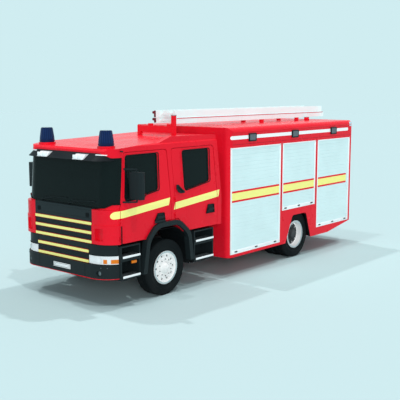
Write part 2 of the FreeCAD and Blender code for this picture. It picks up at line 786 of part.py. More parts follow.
def chassis():
    """Two channel rails with cross members, cab and body mounts and step outriggers."""
    start, end = f"{REAR} + rail_rear_setback", f"{CAB_FRONT} - rail_front_setback"
    outer, top = "rail_half_width", RAIL_TOP
    inner = "(rail_half_width - rail_flange)"
    channel = section("rail", [
        (outer, "rail_bottom"), (outer, top), (inner, top), (inner, f"{top} - rail_web"),
        (f"{outer} - rail_web", f"{top} - rail_web"), (f"{outer} - rail_web", "rail_bottom + rail_web"),
        (inner, "rail_bottom + rail_web"), (inner, "rail_bottom")], start, end)
    members = []
    places = [f"{end} - cross_member", f"{GEARBOX_REAR} - cross_member * 1.5", BODY_FRONT,
              f"{REAR_AXLE} + spring_half_length", f"{REAR_AXLE} - spring_half_length", start]
    for x in places:
        members.append(box("cross_member", (x, f"{x} + cross_member"),
                           (f"-{outer} + rail_web + seat_clear", f"{outer} - rail_web - seat_clear"),
                           (f"{top} - rail_flange * 2", f"{top} - rail_web - seat_clear")))
    members.append(box("bumper_beam",
                       (f"{end} + seat_clear", f"{FRONT} - apron_setback - bumper_wall"),
                       (f"-{outer}", outer), ("rail_bottom", "rail_bottom + cross_member")))
    seat = f"{top} + seat_clear"
    mounts = [box("cab_mount", (x, f"{x} + cross_member"), (inner, outer), (seat, "cab_floor"))
              for x in (f"{end} - cross_member", f"{CAB_REAR} + cross_member")]
    mounts += [box("body_mount", (x, f"{x} + cross_member"), (inner, outer), (seat, "tunnel_top"))
               for x in (f"{BODY_FRONT} - cross_member * 3", f"{REAR_AXLE} + spring_half_length",
                         f"{REAR_AXLE} - spring_half_length", start)]
    mounts.append(box("outrigger", (f"{FRONT_AXLE} - rear_step_front - rear_step_length * 0.6",
                                    f"{FRONT_AXLE} - rear_step_front - rear_step_length * 0.4"),
                      (f"{outer} + seat_clear", "step_half_width - step_depth"),
                      (f"{top} - cross_member * 1.5", f"{top} - cross_member / 2")))
    half = group("rail_with_mounts", channel, *mounts)
    jaw_y, jaw_top = ("-jaw_half", "jaw_half"), "jaw_bottom + jaw_height"
    jaw = fuse("jaw_blank",
               box("jaw_beam", (f"{REAR} + jaw_half", f"{REAR} + jaw_front"), jaw_y,
                   ("jaw_bottom", jaw_top)),
               box("jaw_riser", (start, f"{REAR} + jaw_front"), jaw_y,
                   ("jaw_bottom", f"{top} - rail_flange * 2 - seat_clear")))
    gap = box("jaw_gap", (REAR, f"{REAR} + jaw_half + jaw_slot_length"),
              ("-jaw_half - overrun", "jaw_half + overrun"),
              ("jaw_bottom + (jaw_height - jaw_slot) / 2", "jaw_bottom + (jaw_height + jaw_slot) / 2"))
    pin_hole = rod("jaw_pin_hole", "jaw_pin_radius", "jaw_height + 2 * overrun",
                   f"{REAR} + jaw_pin_x", "0", "jaw_bottom - overrun")
    members.append(cut("tow_jaw", jaw, gap, pin_hole))
    node("chassis_frame", group("chassis", half, mirrored("rail_right", half), *members))
    rear = f"({FRONT_AXLE} + engine_ahead - engine_length)"
    engine = box("engine_block", (rear, f"{FRONT_AXLE} + engine_ahead"),
                 ("-engine_half_width", "engine_half_width"),
                 ("engine_bottom", "cab_floor - engine_top_gap"))
    gearbox = rod("gearbox", "engine_half_width * 0.5", "engine_length * 0.5", GEARBOX_REAR, "0",
                  "shaft_z + engine_half_width * 0.25", "x")
    lugs = [box("engine_lug", (x, f"{x} + cross_member"), ("-rail_half_width + rail_web",
                                                          "rail_half_width - rail_web"),
                ("rail_bottom + rail_web", "rail_bottom + cross_member"))
            for x in (f"{rear} + cross_member", f"{rear} + engine_length - cross_member * 2")]
    node("engine_gearbox", fuse("engine", engine, gearbox, *lugs))


# Cab

def cab_plan(inset, front, half, corner="cab_corner"):
    rear, corner = f"{CAB_REAR} + {inset}", f"{corner} - {inset}"
    return [(rear, f"-({half})"), (front, f"-({half})", corner),
            (front, half, corner), (rear, half)]


def cab_form(name, inset):
    """The cab's form, drawn in by an inset from its outer skin."""
    half = f"(cab_half_width - {inset})"
    lower = plan(name + "_lower", cab_plan(inset, f"{CAB_FRONT} - {inset}", half),
                 f"cab_floor + {inset}", "cab_belt")
    screen = f"({CAB_FRONT} - screen_setback - {inset})"
    upper = loft(name + "_upper", cab_plan(inset, screen, half), "cab_belt",
                 cab_plan(inset, f"{screen} - screen_lean", f"{half} - side_lean", "cab_corner_top"),
                 "cab_top")
    roof = side(name + "_roofline", [
        (CAB_REAR, f"cab_floor + {inset}"), (CAB_FRONT, f"cab_floor + {inset}"),
        (CAB_FRONT, "cab_belt"),
        (f"{CAB_FRONT} - screen_setback", f"eave_z - {inset}"),
        (f"{CAB_FRONT} - screen_setback - screen_lean", f"eave_z - {inset}"),
        (f"{CAB_FRONT} - brow_back", f"brow_z - {inset}"),
        (f"{CAB_FRONT} - roof_knee_back", f"roof_knee_z - {inset}"),
        (CAB_REAR, f"cab_top - {inset}")], "-cab_half_width - overrun", "cab_half_width + overrun")
    wide, low = "(cab_half_width + overrun)", f"cab_floor + {inset}"
    shoulder = f"(shoulder_z - {inset} * 1.2)"
    foot = f"{shoulder} - ({wide} - shoulder_y) * shoulder_slope"
    shoulders = section(name + "_shoulders", [
        (f"-{wide}", low), (wide, low), (wide, foot),
        ("0", f"{shoulder} + shoulder_y * shoulder_slope"), (f"-{wide}", foot)],
        CAB_REAR, f"{CAB_FRONT} + overrun")
    return common(name, fuse(name + "_whole", lower, upper), roof, shoulders)


def cab_room(name, inset):
    """The cab's form at an inset, carried down through its floor."""
    half = f"(cab_half_width - {inset})"
    floor = plan(name + "_floor", cab_plan(inset, f"{CAB_FRONT} - {inset}", half),
                 "cab_floor - overrun * 2", "cab_belt")
    return fuse(name, cab_form(name + "_form", inset), floor)


def arch_points(grow, drop="0"):
    """The front arch's outline about the axle, drawn outward by grow, its feet dropped."""
    front, rear = f"({FRONT_AXLE} + arch_front + {grow})", f"({FRONT_AXLE} - arch_rear - {grow})"
    crown_front = f"({FRONT_AXLE} + arch_crown + {grow} / 2)"
    crown_rear = f"({FRONT_AXLE} - arch_crown - {grow} / 2)"
    shoulder = f"(arch_shoulder_z + {grow} / 2)"
    return [(front, f"arch_foot_front - {drop}"),
            (f"{front} - arch_crown / 3", shoulder, "arch_round"),
            (crown_front, f"arch_top + {grow}", "arch_round"),
            (crown_rear, f"arch_top + {grow}", "arch_round"),
            (f"{rear} + arch_crown / 4", shoulder, "arch_round"),
            (rear, f"arch_foot_rear - {drop}")]


def front_door_outline(gap, sweep):
    """Front door's outline: its front edge stands upright below the belt and leans above."""
    front, rear = FRONT_DOOR, FRONT_DOOR_REAR
    slope_x = f"{front} - pillar_width - {gap}"
    top_x = f"{front} - pillar_width - pillar_lean - {gap}"
    flare_x = f"{FRONT_AXLE} + arch_front - arch_crown / 3"
    crown = f"{FRONT_AXLE} + arch_crown"
    return [(f"{front} - {gap}", f"cab_floor + {gap}"),
            (f"{front} - {gap}", f"cab_belt - {gap}"),
            (slope_x, f"screen_side_bottom + pillar_width"),
            (top_x, f"door_top - {gap}", "window_round"),
            (f"{rear} + {gap} + {sweep}", f"door_top - {gap}", "window_round"),
            (f"{rear} + {gap}", f"arch_top + {gap} * 2"),
            (crown, f"arch_top + {gap} * 2"),
            (f"{flare_x} + {gap} * 2", f"cab_floor + {gap}")]


def rear_door_outline(gap, sweep):
    front, rear = REAR_DOOR, REAR_DOOR_REAR
    crown = f"{FRONT_AXLE} - arch_crown"
    flare_x = f"{FRONT_AXLE} - arch_rear + arch_crown / 4"
    return [(f"{front} - {gap}", f"arch_top + {gap} * 2"),
            (f"{front} - {gap}", f"door_top - {gap}", "window_round"),
            (f"{rear} + {gap} + {sweep}", f"door_top - {gap}", "window_round"),
            (f"{rear} + {gap}", f"cab_floor + {gap}"),
            (f"{flare_x} - {gap} * 2", f"cab_floor + {gap}"),
            (f"{crown} - {gap}", f"arch_top + {gap} * 2")]


def front_window(grow):
    front = f"({FRONT_DOOR} - pillar_width - window_frame)"
    rear, step = f"({FRONT_DOOR} - front_window_back)", f"({FRONT_DOOR} - window_step_back)"
    return [(f"{front} + {grow}", f"window_bottom - {grow}", "window_round"),
            (f"{front} - pillar_lean + {grow}", f"window_top + {grow}", "window_round"),
            (f"{rear} - window_lean - {grow}", f"window_top + {grow}", "window_round"),
            (f"{rear} - {grow}", f"window_rear_z - {grow}", "window_round"),
            (f"{step} - window_step / 4 - {grow}", f"window_bottom + window_step - {grow}"),
            (f"{step} + window_step / 4 - {grow}", f"window_bottom - {grow}")]


def rear_window(grow):
    front = f"({REAR_DOOR} - rear_window_front)"
    rear = f"({front} - rear_window_length)"
    return [(f"{front} + {grow}", f"rear_window_front_z - {grow}", "window_round"),
            (f"{front} - window_lean / 3 + {grow}", f"window_top + {grow}", "window_round"),
            (f"{rear} - window_lean - {grow}", f"window_top + {grow}", "window_round"),
            (f"{rear} - {grow}", f"rear_window_rear_z - {grow}", "window_round")]


def screen_opening(grow):
    low_side = f"{CAB_FRONT} - pillar_back"
    return [(f"{low_side} - {grow}", f"screen_side_bottom - {grow}"),
            (f"{CAB_FRONT} - screen_setback * 2.3", f"screen_side_bottom - {grow}"),
            (f"{CAB_FRONT} - screen_setback", f"screen_bottom - {grow}"),
            (f"{CAB_FRONT} + overrun", f"screen_bottom - {grow}"),
            (f"{CAB_FRONT} + overrun", f"screen_top + {grow}"),
            (f"{low_side} - pillar_lean - {grow}", f"screen_top + {grow}")]


def doorway(name, points):
    return side(name, points, "door_wall_reach", "cab_half_width + overrun")


def handle_recess(name, front, length, slant, low):
    """A hollow in a door's skin behind its handle, narrower at the top."""
    return side(name, [
        (f"({front})", low), (f"({front}) - {slant}", "handle_top"),
        (f"({front}) - {length} + {slant} / 4", "handle_top"), (f"({front}) - {length}", low)],
        "cab_half_width - handle_depth", "cab_half_width + overrun")


def door_hinges(name, edge, y, heights):
    """Pins and knuckles standing on the cab, and the door's eyes that turn on them."""
    x = f"({edge} - hinge_gap)"
    fixed, eyes = [], []
    for z in heights:
        eye_z = f"({z} - hinge_eye / 2)"
        low, high = f"({eye_z} - ear_gap - hinge_eye)", f"({eye_z} + hinge_eye + ear_gap)"
        fixed.append(rod("hinge_pin", "hinge_pin_radius", f"{high} - {low} + hinge_eye", x, y, low))
        for part_z in (low, high):
            fixed.append(rod("hinge_knuckle", "hinge_radius", "hinge_eye", x, y, part_z))
            fixed.append(box("knuckle_arm", (f"{x} + hinge_gap", f"{x} + hinge_arm"),
                             (f"{y} - hinge_root", y), (part_z, f"{part_z} + hinge_eye")))
        eye = fuse("hinge_eye", rod("eye_ring", "hinge_radius", "hinge_eye", x, y, eye_z),
                   box("eye_arm", (f"{x} - hinge_arm", f"{x} - hinge_gap"),
                       (f"{y} - hinge_root", y), (eye_z, f"{eye_z} + hinge_eye")))
        bore = rod("eye_bore", "hinge_pin_radius + pin_fit", "hinge_eye + 2 * overrun", x, y,
                   f"{eye_z} - overrun")
        eyes.append(cut("bored_eye", eye, bore))
    return fuse(name + "_fixed", *fixed), eyes


def corner_slot():
    """The air slot in the lower front corner, through the panel and into the cab."""
    return box("corner_slot", (f"{CAB_FRONT} - slot_depth", f"{CAB_FRONT} + overrun"),
               ("slot_y - slot_half", "slot_y + slot_half"), ("slot_bottom", "slot_top"))


def corner_panels():
    """Panels wrapped round the lower front corners, standing proud of the cab."""
    skins = [plan(name, cab_plan(f"(0 - {proud})", f"{CAB_FRONT} + {proud}", f"(cab_half_width + {proud})"),
                  f"cab_floor - {reach}", f"panel_top + {reach}")
             for name, proud, reach in (("panel_outer", "panel_proud", "0"),
                                        ("panel_inner", "seat_clear", "overrun"))]
    zone = box("panel_zone", (FRONT_DOOR, f"{CAB_FRONT} + overrun"),
               ("grille_half_width + seat_clear", "cab_half_width + overrun"),
               ("cab_floor", "panel_top"))
    panel = common("corner_panel", cut("panel_skin", *skins), zone)
    tall = "(hinge_eye * 1.5 + ear_gap * 2)"
    notch = box("hinge_notch", (f"{FRONT_DOOR} - overrun", f"{FRONT_DOOR} + hinge_arm + ear_gap"),
                ("front_hinge_y - hinge_root * 2", "cab_half_width + overrun"),
                (f"front_hinge_low - {tall}", f"front_hinge_low + {tall}"))
    node("corner_panels", pair("panels", cut("panel_slotted", panel, corner_slot(), notch)))


def cab():
    outer = cab_form("cab_outer", "0")
    inner = cab_form("cab_inner", "cab_wall")
    wide = "cab_half_width + overrun"
    well = side("wheel_well", [
        (f"{FRONT_AXLE} + arch_front + overrun", "cab_floor"),
        (f"{FRONT_AXLE} + arch_front + overrun", "well_top"),
        (f"{FRONT_AXLE} - arch_rear - overrun", "well_top"),
        (f"{FRONT_AXLE} - arch_rear - overrun", "cab_floor")],
        "arch_inner_y - well_wall", "cab_half_width - cab_wall / 2")
    wells = common("wheel_wells", pair("wells", well), outer)
    hollow = fuse("cab_hollow", cut("cab_walls", outer, inner), wells)
    arch = side("arch", [(x, z) if not rest else (x, z, rest[0])
                         for x, z, *rest in arch_points("(0 - flare_width)")],
                "arch_inner_y", wide)
    arches = pair("arches", arch)
    band = cut("door_band", cab_form("band_outer", "(0 - overrun)"),
               cab_room("band_inner", "(cab_wall + door_gap)"))
    ways = common("ways", band,
                  group("way_forms", doorway("front_way", front_door_outline("0", "0")),
                        doorway("rear_way", rear_door_outline("0", "0"))))
    screen_way = side("screen_way", screen_opening("0"), f"-({wide})", wide)
    recess = box("grille_recess", (f"{CAB_FRONT} - grille_recess", f"{CAB_FRONT} + overrun"),
                 ("-grille_half_width", "grille_half_width"),
                 ("cab_floor - overrun", "grille_top"))
    opened = cut("cab_opened", hollow, arches, screen_way, recess, pair("slots", corner_slot()))
    shell = cut("cab_with_ways", cut("cab_left_way", opened, ways), mirrored("ways_right", ways))
    ridge = side("ridge", [
        (f"{CAB_FRONT} - ridge_front", "shoulder_z"),
        (f"{CAB_FRONT} - ridge_front - ridge_rise", "ridge_top"),
        (f"{CAB_FRONT} - ridge_back", "ridge_top"), (CAB_REAR, "ridge_end"), (CAB_REAR, "shoulder_z")],
        "ridge_inner", "ridge_outer")
    pad_disc = rod("beacon_base", "beacon_pad_radius", "beacon_bottom - brow_z + cab_wall / 2",
                   f"({CAB_FRONT} - beacon_back)", "beacon_y", "brow_z - cab_wall / 2")
    front_pins, front_eyes = door_hinges("front_hinges", FRONT_DOOR, "front_hinge_y",
                                         ("front_hinge_low", "front_hinge_high"))
    rear_pins, rear_eyes = door_hinges("rear_hinges", REAR_DOOR, "rear_hinge_y",
                                       ("rear_hinge_low", "rear_hinge_high"))
    node("cab_shell", fuse("cab_with_pads", shell, pair("beacon_bases", pad_disc),
                           pair("front_pins", front_pins), pair("rear_pins", rear_pins),
                           cut("ridge_seated", ridge, outer)))

    glazing = cut("glazing", cab_form("glass_outer", "glass_inset"),
                  cab_form("glass_inner", "(glass_inset + glass_thickness)"))
    node("windscreen", common("screen", glazing,
                              side("screen_pane", screen_opening("(0 - seat_clear)"),
                                   f"-({wide})", wide)))
    walls = cut("door_walls", outer, cab_room("door_inner", "cab_wall"))
    handles = {"front": handle_recess("front_recess", f"{FRONT_DOOR} - front_handle_x",
                                      "front_handle_length", "front_handle_slant",
                                      "front_handle_low"),
               "rear": handle_recess("rear_recess", f"{REAR_DOOR} - rear_handle_x", "rear_handle_length",
                                     "rear_handle_slant", "rear_handle_low")}
    for label, shape, window, eyes in (
            ("front", front_door_outline("door_gap", "door_sweep"), front_window, front_eyes),
            ("rear", rear_door_outline("door_gap", "door_sweep"), rear_window, rear_eyes)):
        blank = common(f"{label}_door_blank", walls, doorway(f"{label}_door_form", shape))
        plain = cut(f"{label}_door_plain", blank, doorway(f"{label}_window", window("0")), handles[label])
        door = fuse(f"{label}_door", plain, *eyes)
        node(f"door_{label}_left", door)
        node(f"door_{label}_right", mirrored(f"{label}_door_right", door))
        pane = common(f"{label}_pane", glazing,
                      doorway(f"{label}_pane_form", window("(0 - seat_clear)")))
        node(f"glass_{label}_left", pane)
        node(f"glass_{label}_right", mirrored(f"{label}_pane_right", pane))


def flares():
    outer = side("flare_outer", arch_points("0"), "cab_half_width - flare_depth",
                 "cab_half_width + flare_out")
    inner = side("flare_inner", [(x, z) if not rest else (x, z, rest[0])
                                 for x, z, *rest in arch_points("(0 - flare_width)", "overrun")],
                 "cab_half_width - flare_depth - overrun", "cab_half_width + flare_out + overrun")
    below = box("flare_below", (f"{FRONT_AXLE} - arch_rear - overrun",
                                f"{FRONT_AXLE} + arch_front + overrun"),
                ("cab_half_width - flare_depth", "cab_half_width"), ("cab_floor", "arch_top + overrun"))
    band = cut("flare_band", outer, inner)
    node("arch_flares", pair("flares", cut("flare", band, below)))


# Front end

def bumper_plan(inset, front):
    half = f"(cab_half_width - {inset})"
    corner = f"bumper_corner - {inset}"
    rear = f"{CAB_FRONT} - bumper_back"
    tip = f"{front} - {inset}"
    return [(rear, f"-{half}"), (tip, f"-{half}", corner), (tip, half, corner), (rear, half)]


def visor_x(z):
    """Where the visor's sloping front stands at a height."""
    return (f"({CAB_FRONT} + visor_reach - (visor_reach + visor_back) * ({z} - visor_bottom)"
            " / (visor_top - visor_bottom))")


def visor_form(name, inset, drop):
    """The wedge under the visor's slope, drawn in by an inset."""
    def around(front, half, corner):
        rear = f"{CAB_FRONT} - visor_length"
        return [(rear, f"-({half})"), (front, f"-({half})", corner), (front, half, corner), (rear, half)]
    lower = around(f"{CAB_FRONT} + visor_reach - {inset}", f"visor_half - {inset}",
                   f"visor_corner - {inset}")
    upper = around(f"{CAB_FRONT} - visor_back - {inset}", f"visor_half - visor_narrow - {inset}",
                   f"visor_corner - visor_narrow * 2 - {inset}")
    return loft(name, lower, f"visor_bottom - {drop}", upper, f"visor_top - {inset}")


def sun_visor():
    seat = cab_form("visor_seat", "0")
    wedge = visor_form("visor_wedge", "0", "0")
    under = visor_form("visor_under", "visor_thickness", "seat_clear")
    return cut("visor", cut("visor_sheet", wedge, under), seat), wedge


def front_end():
    low_front, high_front = FRONT, f"({FRONT} - apron_setback)"
    top = "(cab_floor - apron_gap)"
    low = plan("bumper_low", bumper_plan("0", low_front), "bumper_bottom", "bumper_top")
    high = plan("bumper_high", bumper_plan("0", high_front), "bumper_top", top)
    hollow = plan("bumper_hollow", bumper_plan("bumper_wall", f"({low_front} - apron_setback)"),
                  "bumper_bottom - overrun", "cab_floor + overrun")
    back = box("bumper_back", (f"{CAB_FRONT} - bumper_back - overrun", BUMPER_REAR),
               ("-cab_half_width - overrun", "cab_half_width + overrun"),
               ("bumper_bottom - overrun", "cab_floor + overrun"))
    zone = box("lamp_zone", (BUMPER_REAR, f"{FRONT} + overrun"),
               ("lamp_inner_y", "cab_half_width + overrun"), ("lamp_bottom", "lamp_top"))
    shell = cut("bumper_shell", fuse("bumper_blank", low, high), hollow, back)
    skin = cut("lamp_skin",
               plan("lamp_outer", bumper_plan("(0 - lamp_proud)", high_front),
                    "lamp_bottom", "lamp_top"),
               plan("lamp_inner", bumper_plan("lamp_depth", high_front),
                    "lamp_bottom - overrun", "lamp_top + overrun"))
    pocket = common("lamp_pocket", skin, zone)
    plate = box("plate_recess", (f"{FRONT} - plate_depth", f"{FRONT} + overrun"),
                ("-plate_half", "plate_half"), ("plate_bottom", "plate_bottom + plate_height"))
    fog_x = f"({FRONT} - fog_depth)"
    fog_hole = rod("fog_hole", "fog_radius", "fog_depth + overrun", fog_x, "fog_y", "fog_z", "x")
    node("bumper", cut("bumper_with_pockets", shell, pocket, mirrored("pocket_right", pocket),
                       plate, pair("fog_holes", fog_hole)))
    fog = rod("fog_lamp", "fog_radius - seat_clear", "fog_length", f"{fog_x} + seat_clear",
              "fog_y", "fog_z", "x")
    lens = common("lamp_lens", skin,
                  box("lens_zone", (BUMPER_REAR, f"{FRONT} + overrun"),
                      ("lamp_inner_y + seat_clear", "cab_half_width + overrun"),
                      ("lamp_bottom + seat_clear", "lamp_top - seat_clear")))
    across = ("-grille_half_width + seat_clear", "grille_half_width - seat_clear")
    panel = box("grille_plate", (f"{CAB_FRONT} - grille_recess", CAB_FRONT), across,
                ("cab_floor", "grille_top + cowl_height"))
    cowl = box("cowl", (f"{CAB_FRONT} - screen_setback + seat_clear", f"{CAB_FRONT} - grille_recess / 2"),
               across, ("grille_top + seat_clear", "grille_top + cowl_height"))
    node("grille_panel", fuse("grille_and_cowl", panel, cowl))
    slats = []
    for i in range(5):
        z = f"(slat_top_z - slat_pitch * {i})" if i < 3 else f"(low_slat_z - low_slat_pitch * {i - 3})"
        face, half = (CAB_FRONT, "grille_half_width - grille_recess / 3") if i < 3 else (
            high_front, "low_slat_half")
        slats.append(box("slat", (face, f"{face} + slat_proud"), (f"-({half})", half),
                         (f"{z} - slat_height / 2", f"{z} + slat_height / 2")))
    node("grille_slats", group("slats", *slats))

    visor, wedge = sun_visor()
    node("sun_visor", visor)
    low_z, high_z = "marker_z", "(marker_z + marker_height)"
    marker = side("marker", [
        (f"{visor_x(low_z)} - overrun / 4", low_z), (f"{visor_x(low_z)} + marker_foot", low_z),
        (f"{visor_x(high_z)} + marker_head", high_z), (f"{visor_x(high_z)} - overrun / 4", high_z)],
        "marker_y - marker_half_length", "marker_y + marker_half_length")
    node("front_lamps", group("front_lamp_set", pair("headlamps", lens), pair("fog_lamps", fog),
                              pair("markers", cut("marker_seated", marker, wedge))))


def steps():
    boxes, treads = [], []
    for front, length in ((f"({BUMPER_REAR} - seat_clear)", "front_step_length"),
                          (f"({FRONT_AXLE} - rear_step_front)", "rear_step_length")):
        rear = f"({front} - {length})"
        y = ("step_half_width - step_depth", "step_half_width")
        block = box("step_block", (rear, front), y, ("step_bottom", "step_top"))
        hole = box("step_hole", (f"{rear} + step_wall", f"{front} - step_wall"),
                   ("step_half_width - step_depth + step_wall", "step_half_width + overrun"),
                   ("step_bottom + step_wall + tread_thickness", "upper_tread_z - tread_thickness * 2"))
        toe = box("toe_hole", (f"{rear} + step_wall", f"{front} - step_wall"),
                  ("step_half_width - step_depth + step_wall", "step_half_width + overrun"),
                  ("upper_tread_z + step_wall", "step_top - step_wall"))
        boxes.append(cut("step_box", block, hole, toe))
        inside_wall = "step_wall + seat_clear"
        for z in (f"step_bottom + tread_thickness + {inside_wall}", f"upper_tread_z + {inside_wall}"):
            treads.append(box("tread", (f"{rear} + {inside_wall}", f"{front} - ({inside_wall})"),
                              ("step_half_width - step_depth / 2", "step_half_width + tread_out"),
                              (z, f"{z} + tread_thickness")))
    node("step_boxes", pair("boxes", group("boxes_left", *boxes)))
    node("step_treads", pair("treads", group("treads_left", *treads)))


def roof_fittings():
    x = f"({CAB_FRONT} - beacon_back)"
    beacon = revolve("beacon", "XZ_Plane", "Z_Axis", [
        ("0", "0"), ("beacon_base_radius", "0"), ("beacon_base_radius", "beacon_height * 0.2"),
        ("beacon_top_radius", "beacon_height", "beacon_top_radius * 0.2"), ("0", "beacon_height")],
        (x, "beacon_y", "beacon_bottom"))
    node("beacons", pair("beacon_pair", beacon))

    middle = f"({CAB_FRONT} - mirror_back)"
    housing = plan("mirror_housing", rectangle(
        (f"{middle} - mirror_thickness / 2", f"{middle} + mirror_thickness / 2"),
        ("mirror_y - mirror_width / 2", "mirror_y + mirror_width / 2"), "mirror_round"),
        "mirror_bottom", "mirror_bottom + mirror_height")
    arms = []
    for z in ("(mirror_bottom - mirror_arm_gap)", "(mirror_bottom + mirror_height + mirror_arm_gap)"):
        lean = f"pillar_lean * ({z} - window_bottom) / (window_top - window_bottom)"
        root = f"({FRONT_DOOR} - pillar_width - (window_frame + door_gap) / 2 - {lean})"
        skin = f"cab_half_width - side_lean * ({z} - cab_belt) / (cab_top - cab_belt) + mirror_arm / 2"
        arms.append(plan("mirror_arm", [
            (f"{root} - mirror_arm", "cab_half_width - side_lean"),
            (f"{root} + mirror_arm", "cab_half_width - side_lean"),
            (f"{root} + mirror_arm", skin), (f"{middle} + mirror_arm", "mirror_y"),
            (f"{middle} - mirror_arm", "mirror_y"), (f"{root} - mirror_arm", skin)],
            f"{z} - mirror_arm", f"{z} + mirror_arm"))
    post = rod("mirror_post", "mirror_arm", "mirror_height + 2 * mirror_arm_gap", middle, "mirror_y",
               "mirror_bottom - mirror_arm_gap")
    whole = fuse("mirror_whole", housing, post, *arms)
    mirror = cut("mirror", whole, cab_form("mirror_seat", "0"))
    node("mirror_left", mirror)
    node("mirror_right", mirrored("mirror_r", mirror))


# Body

SHUTTERS = ("shutter_1", "shutter_2", "shutter_3")


def body_form(name, inset):
    half = f"(body_half_width - {inset})"
    front, rear = f"({BODY_FRONT} - {inset})", f"({BODY_REAR} + {inset})"
    top = f"(body_top - {inset})"
    low = f"(body_bottom + {inset})"
    cross = section(name + "_cross", [
        (f"-{half}", low), (half, low), (half, top, f"body_roof_round - {inset}"),
        (f"-{half}", top, f"body_roof_round - {inset}")], rear, front)
    around = plan(name + "_plan", [
        (rear, f"-{half}"), (front, f"-{half}", f"body_corner_round - {inset}"),
        (front, half, f"body_corner_round - {inset}"), (rear, half)], low, top)
    profile = side(name + "_profile", [
        (front, low), (front, top), (rear, top), (rear, f"{low} + kick_rise"),
        (f"{rear} + kick_length", low)], f"-{half}", half)
    return common(name, cross, around, profile)


def body():
    outer = body_form("body_outer", "0")
    inner = body_form("body_inner", "body_wall")
    tunnel_outer = box("tunnel_wall", (BODY_REAR, BODY_FRONT),
                       ("-tunnel_half_width - body_wall", "tunnel_half_width + body_wall"),
                       ("body_bottom", "tunnel_top + body_wall"))
    pan = side("arch_pan", [
        (f"{REAR_AXLE} + arch_pan_front", "body_bottom"),
        (f"{REAR_AXLE} + arch_pan_front", "arch_pan"),
        (f"{REAR_AXLE} - arch_pan_rear", "arch_pan"),
        (f"{REAR_AXLE} - arch_pan_rear", "body_bottom")],
        "tunnel_half_width", "body_half_width - body_wall / 2")
    inside = common("body_inside_walls", fuse("linings", tunnel_outer, pair("pans", pan)), outer)
    walls = fuse("body_walls", cut("body_hollow", outer, inner), inside)
    tunnel = box("tunnel", (f"{BODY_REAR} + body_wall", f"{BODY_FRONT} + overrun"),
                 ("-tunnel_half_width", "tunnel_half_width"),
                 ("body_bottom - overrun", "tunnel_top"))
    tunnel_end = box("tunnel_end", (f"{BODY_REAR} - overrun", f"{BODY_REAR} + body_wall"),
                     ("-tunnel_half_width", "tunnel_half_width"),
                     ("body_bottom - overrun", "tunnel_top"))
    arch = side("body_arch", [
        (f"{REAR_AXLE} + body_arch_front", "body_bottom - overrun"),
        (f"{REAR_AXLE} + body_arch_crown_front", "body_arch_top", "overrun"),
        (f"{REAR_AXLE} - body_arch_crown_rear", "body_arch_top", "overrun"),
        (f"{REAR_AXLE} - body_arch_rear", "body_bottom - overrun")],
        "body_half_width - body_wall * 2", "body_half_width + overrun")
    wheel_room = side("wheel_room", [
        (f"{REAR_AXLE} + arch_pan_front - body_wall", "body_bottom - overrun"),
        (f"{REAR_AXLE} + arch_pan_front - body_wall", "arch_pan - body_wall"),
        (f"{REAR_AXLE} - arch_pan_rear + body_wall", "arch_pan - body_wall"),
        (f"{REAR_AXLE} - arch_pan_rear + body_wall", "body_bottom - overrun")],
        "tunnel_half_width", "body_half_width - body_wall")
    openings = []
    for name in SHUTTERS:
        front = f"({BODY_FRONT} - {name}_start)"
        openings.append(box(name + "_way", (f"{front} - {name}_length", front),
                            ("body_half_width - body_wall - overrun", "body_half_width + overrun"),
                            (f"{name}_bottom", "shutter_top")))
    ways = group("body_ways", *openings)
    rear_way = box("rear_way_box", (f"{BODY_REAR} - overrun", f"{BODY_REAR} + body_wall + overrun"),
                   ("-rear_shutter_half", "rear_shutter_half"), ("rear_shutter_bottom", "shutter_top"))
    step_1 = cut("body_cut", walls, tunnel, tunnel_end, pair("body_arches", arch),
                 pair("wheel_rooms", wheel_room))
    step_2 = cut("body_ways_left", step_1, ways)
    step_3 = cut("body_ways_right", step_2, mirrored("body_ways_other", ways))
    node("body_shell", cut("body_final", step_3, rear_way))


def curtain(name, rear, front, outer, bottom):
    """A roller shutter: one pad with a groove cut across it and repeated up to its top."""
    body = pad(name, "YZ_Plane", rectangle((f"{outer} - shutter_thickness", outer),
                                           (bottom, "shutter_top")), rear, f"{front} - ({rear})")
    middle = f"({bottom} + slat_margin)"
    half = "slat_groove_width / 2"
    groove = body.newObject("PartDesign::Pocket", "groove")
    groove.Profile = outline(body, "YZ_Plane", [
        (f"{outer} - slat_groove_depth", middle),
        (f"{outer} + slat_groove_depth", f"{middle} - {half} * 2"),
        (f"{outer} + slat_groove_depth", f"{middle} + {half} * 2")], f"{front} + overrun")
    groove.setExpression("Length", bound(f"{front} - ({rear}) + overrun * 2"))
    rows = body.newObject("PartDesign::LinearPattern", "slats")
    rows.Originals = [groove]
    rows.Direction = (origin_part(body, "Z_Axis"), [""])
    count = f"floor((shutter_top - {bottom} - slat_margin * 1.5) / slat_groove_pitch)"
    rows.setExpression("Length", bound(f"{count} * slat_groove_pitch"))
    rows.setExpression("Occurrences", bound(f"{count} + 1"))
    body.Tip = rows
    return body


def shutters():
    outer_y = "(body_half_width - shutter_recess)"
    curtains = []
    for name in SHUTTERS:
        front = f"({BODY_FRONT} - {name}_start - shutter_play)"
        rear = f"({BODY_FRONT} - {name}_start - {name}_length + shutter_play)"
        curtains.append(curtain(name + "_curtain", rear, front, outer_y, f"{name}_bottom"))
    left = group("curtains_left", *curtains)
    node("shutters_left", left)
    node("shutters_right", mirrored("curtains_right", left))
    back = curtain("rear_curtain", "-rear_shutter_half + shutter_play",
                   "rear_shutter_half - shutter_play", "0", "rear_shutter_bottom")
    turned = group("rear_curtain_turned", back)
    turned.Placement.Rotation = FreeCAD.Rotation(FreeCAD.Vector(0, 0, 1), 90)
    bind(turned, Placement__Base__x=f"{BODY_REAR} + shutter_recess")
    node("shutter_rear", turned)


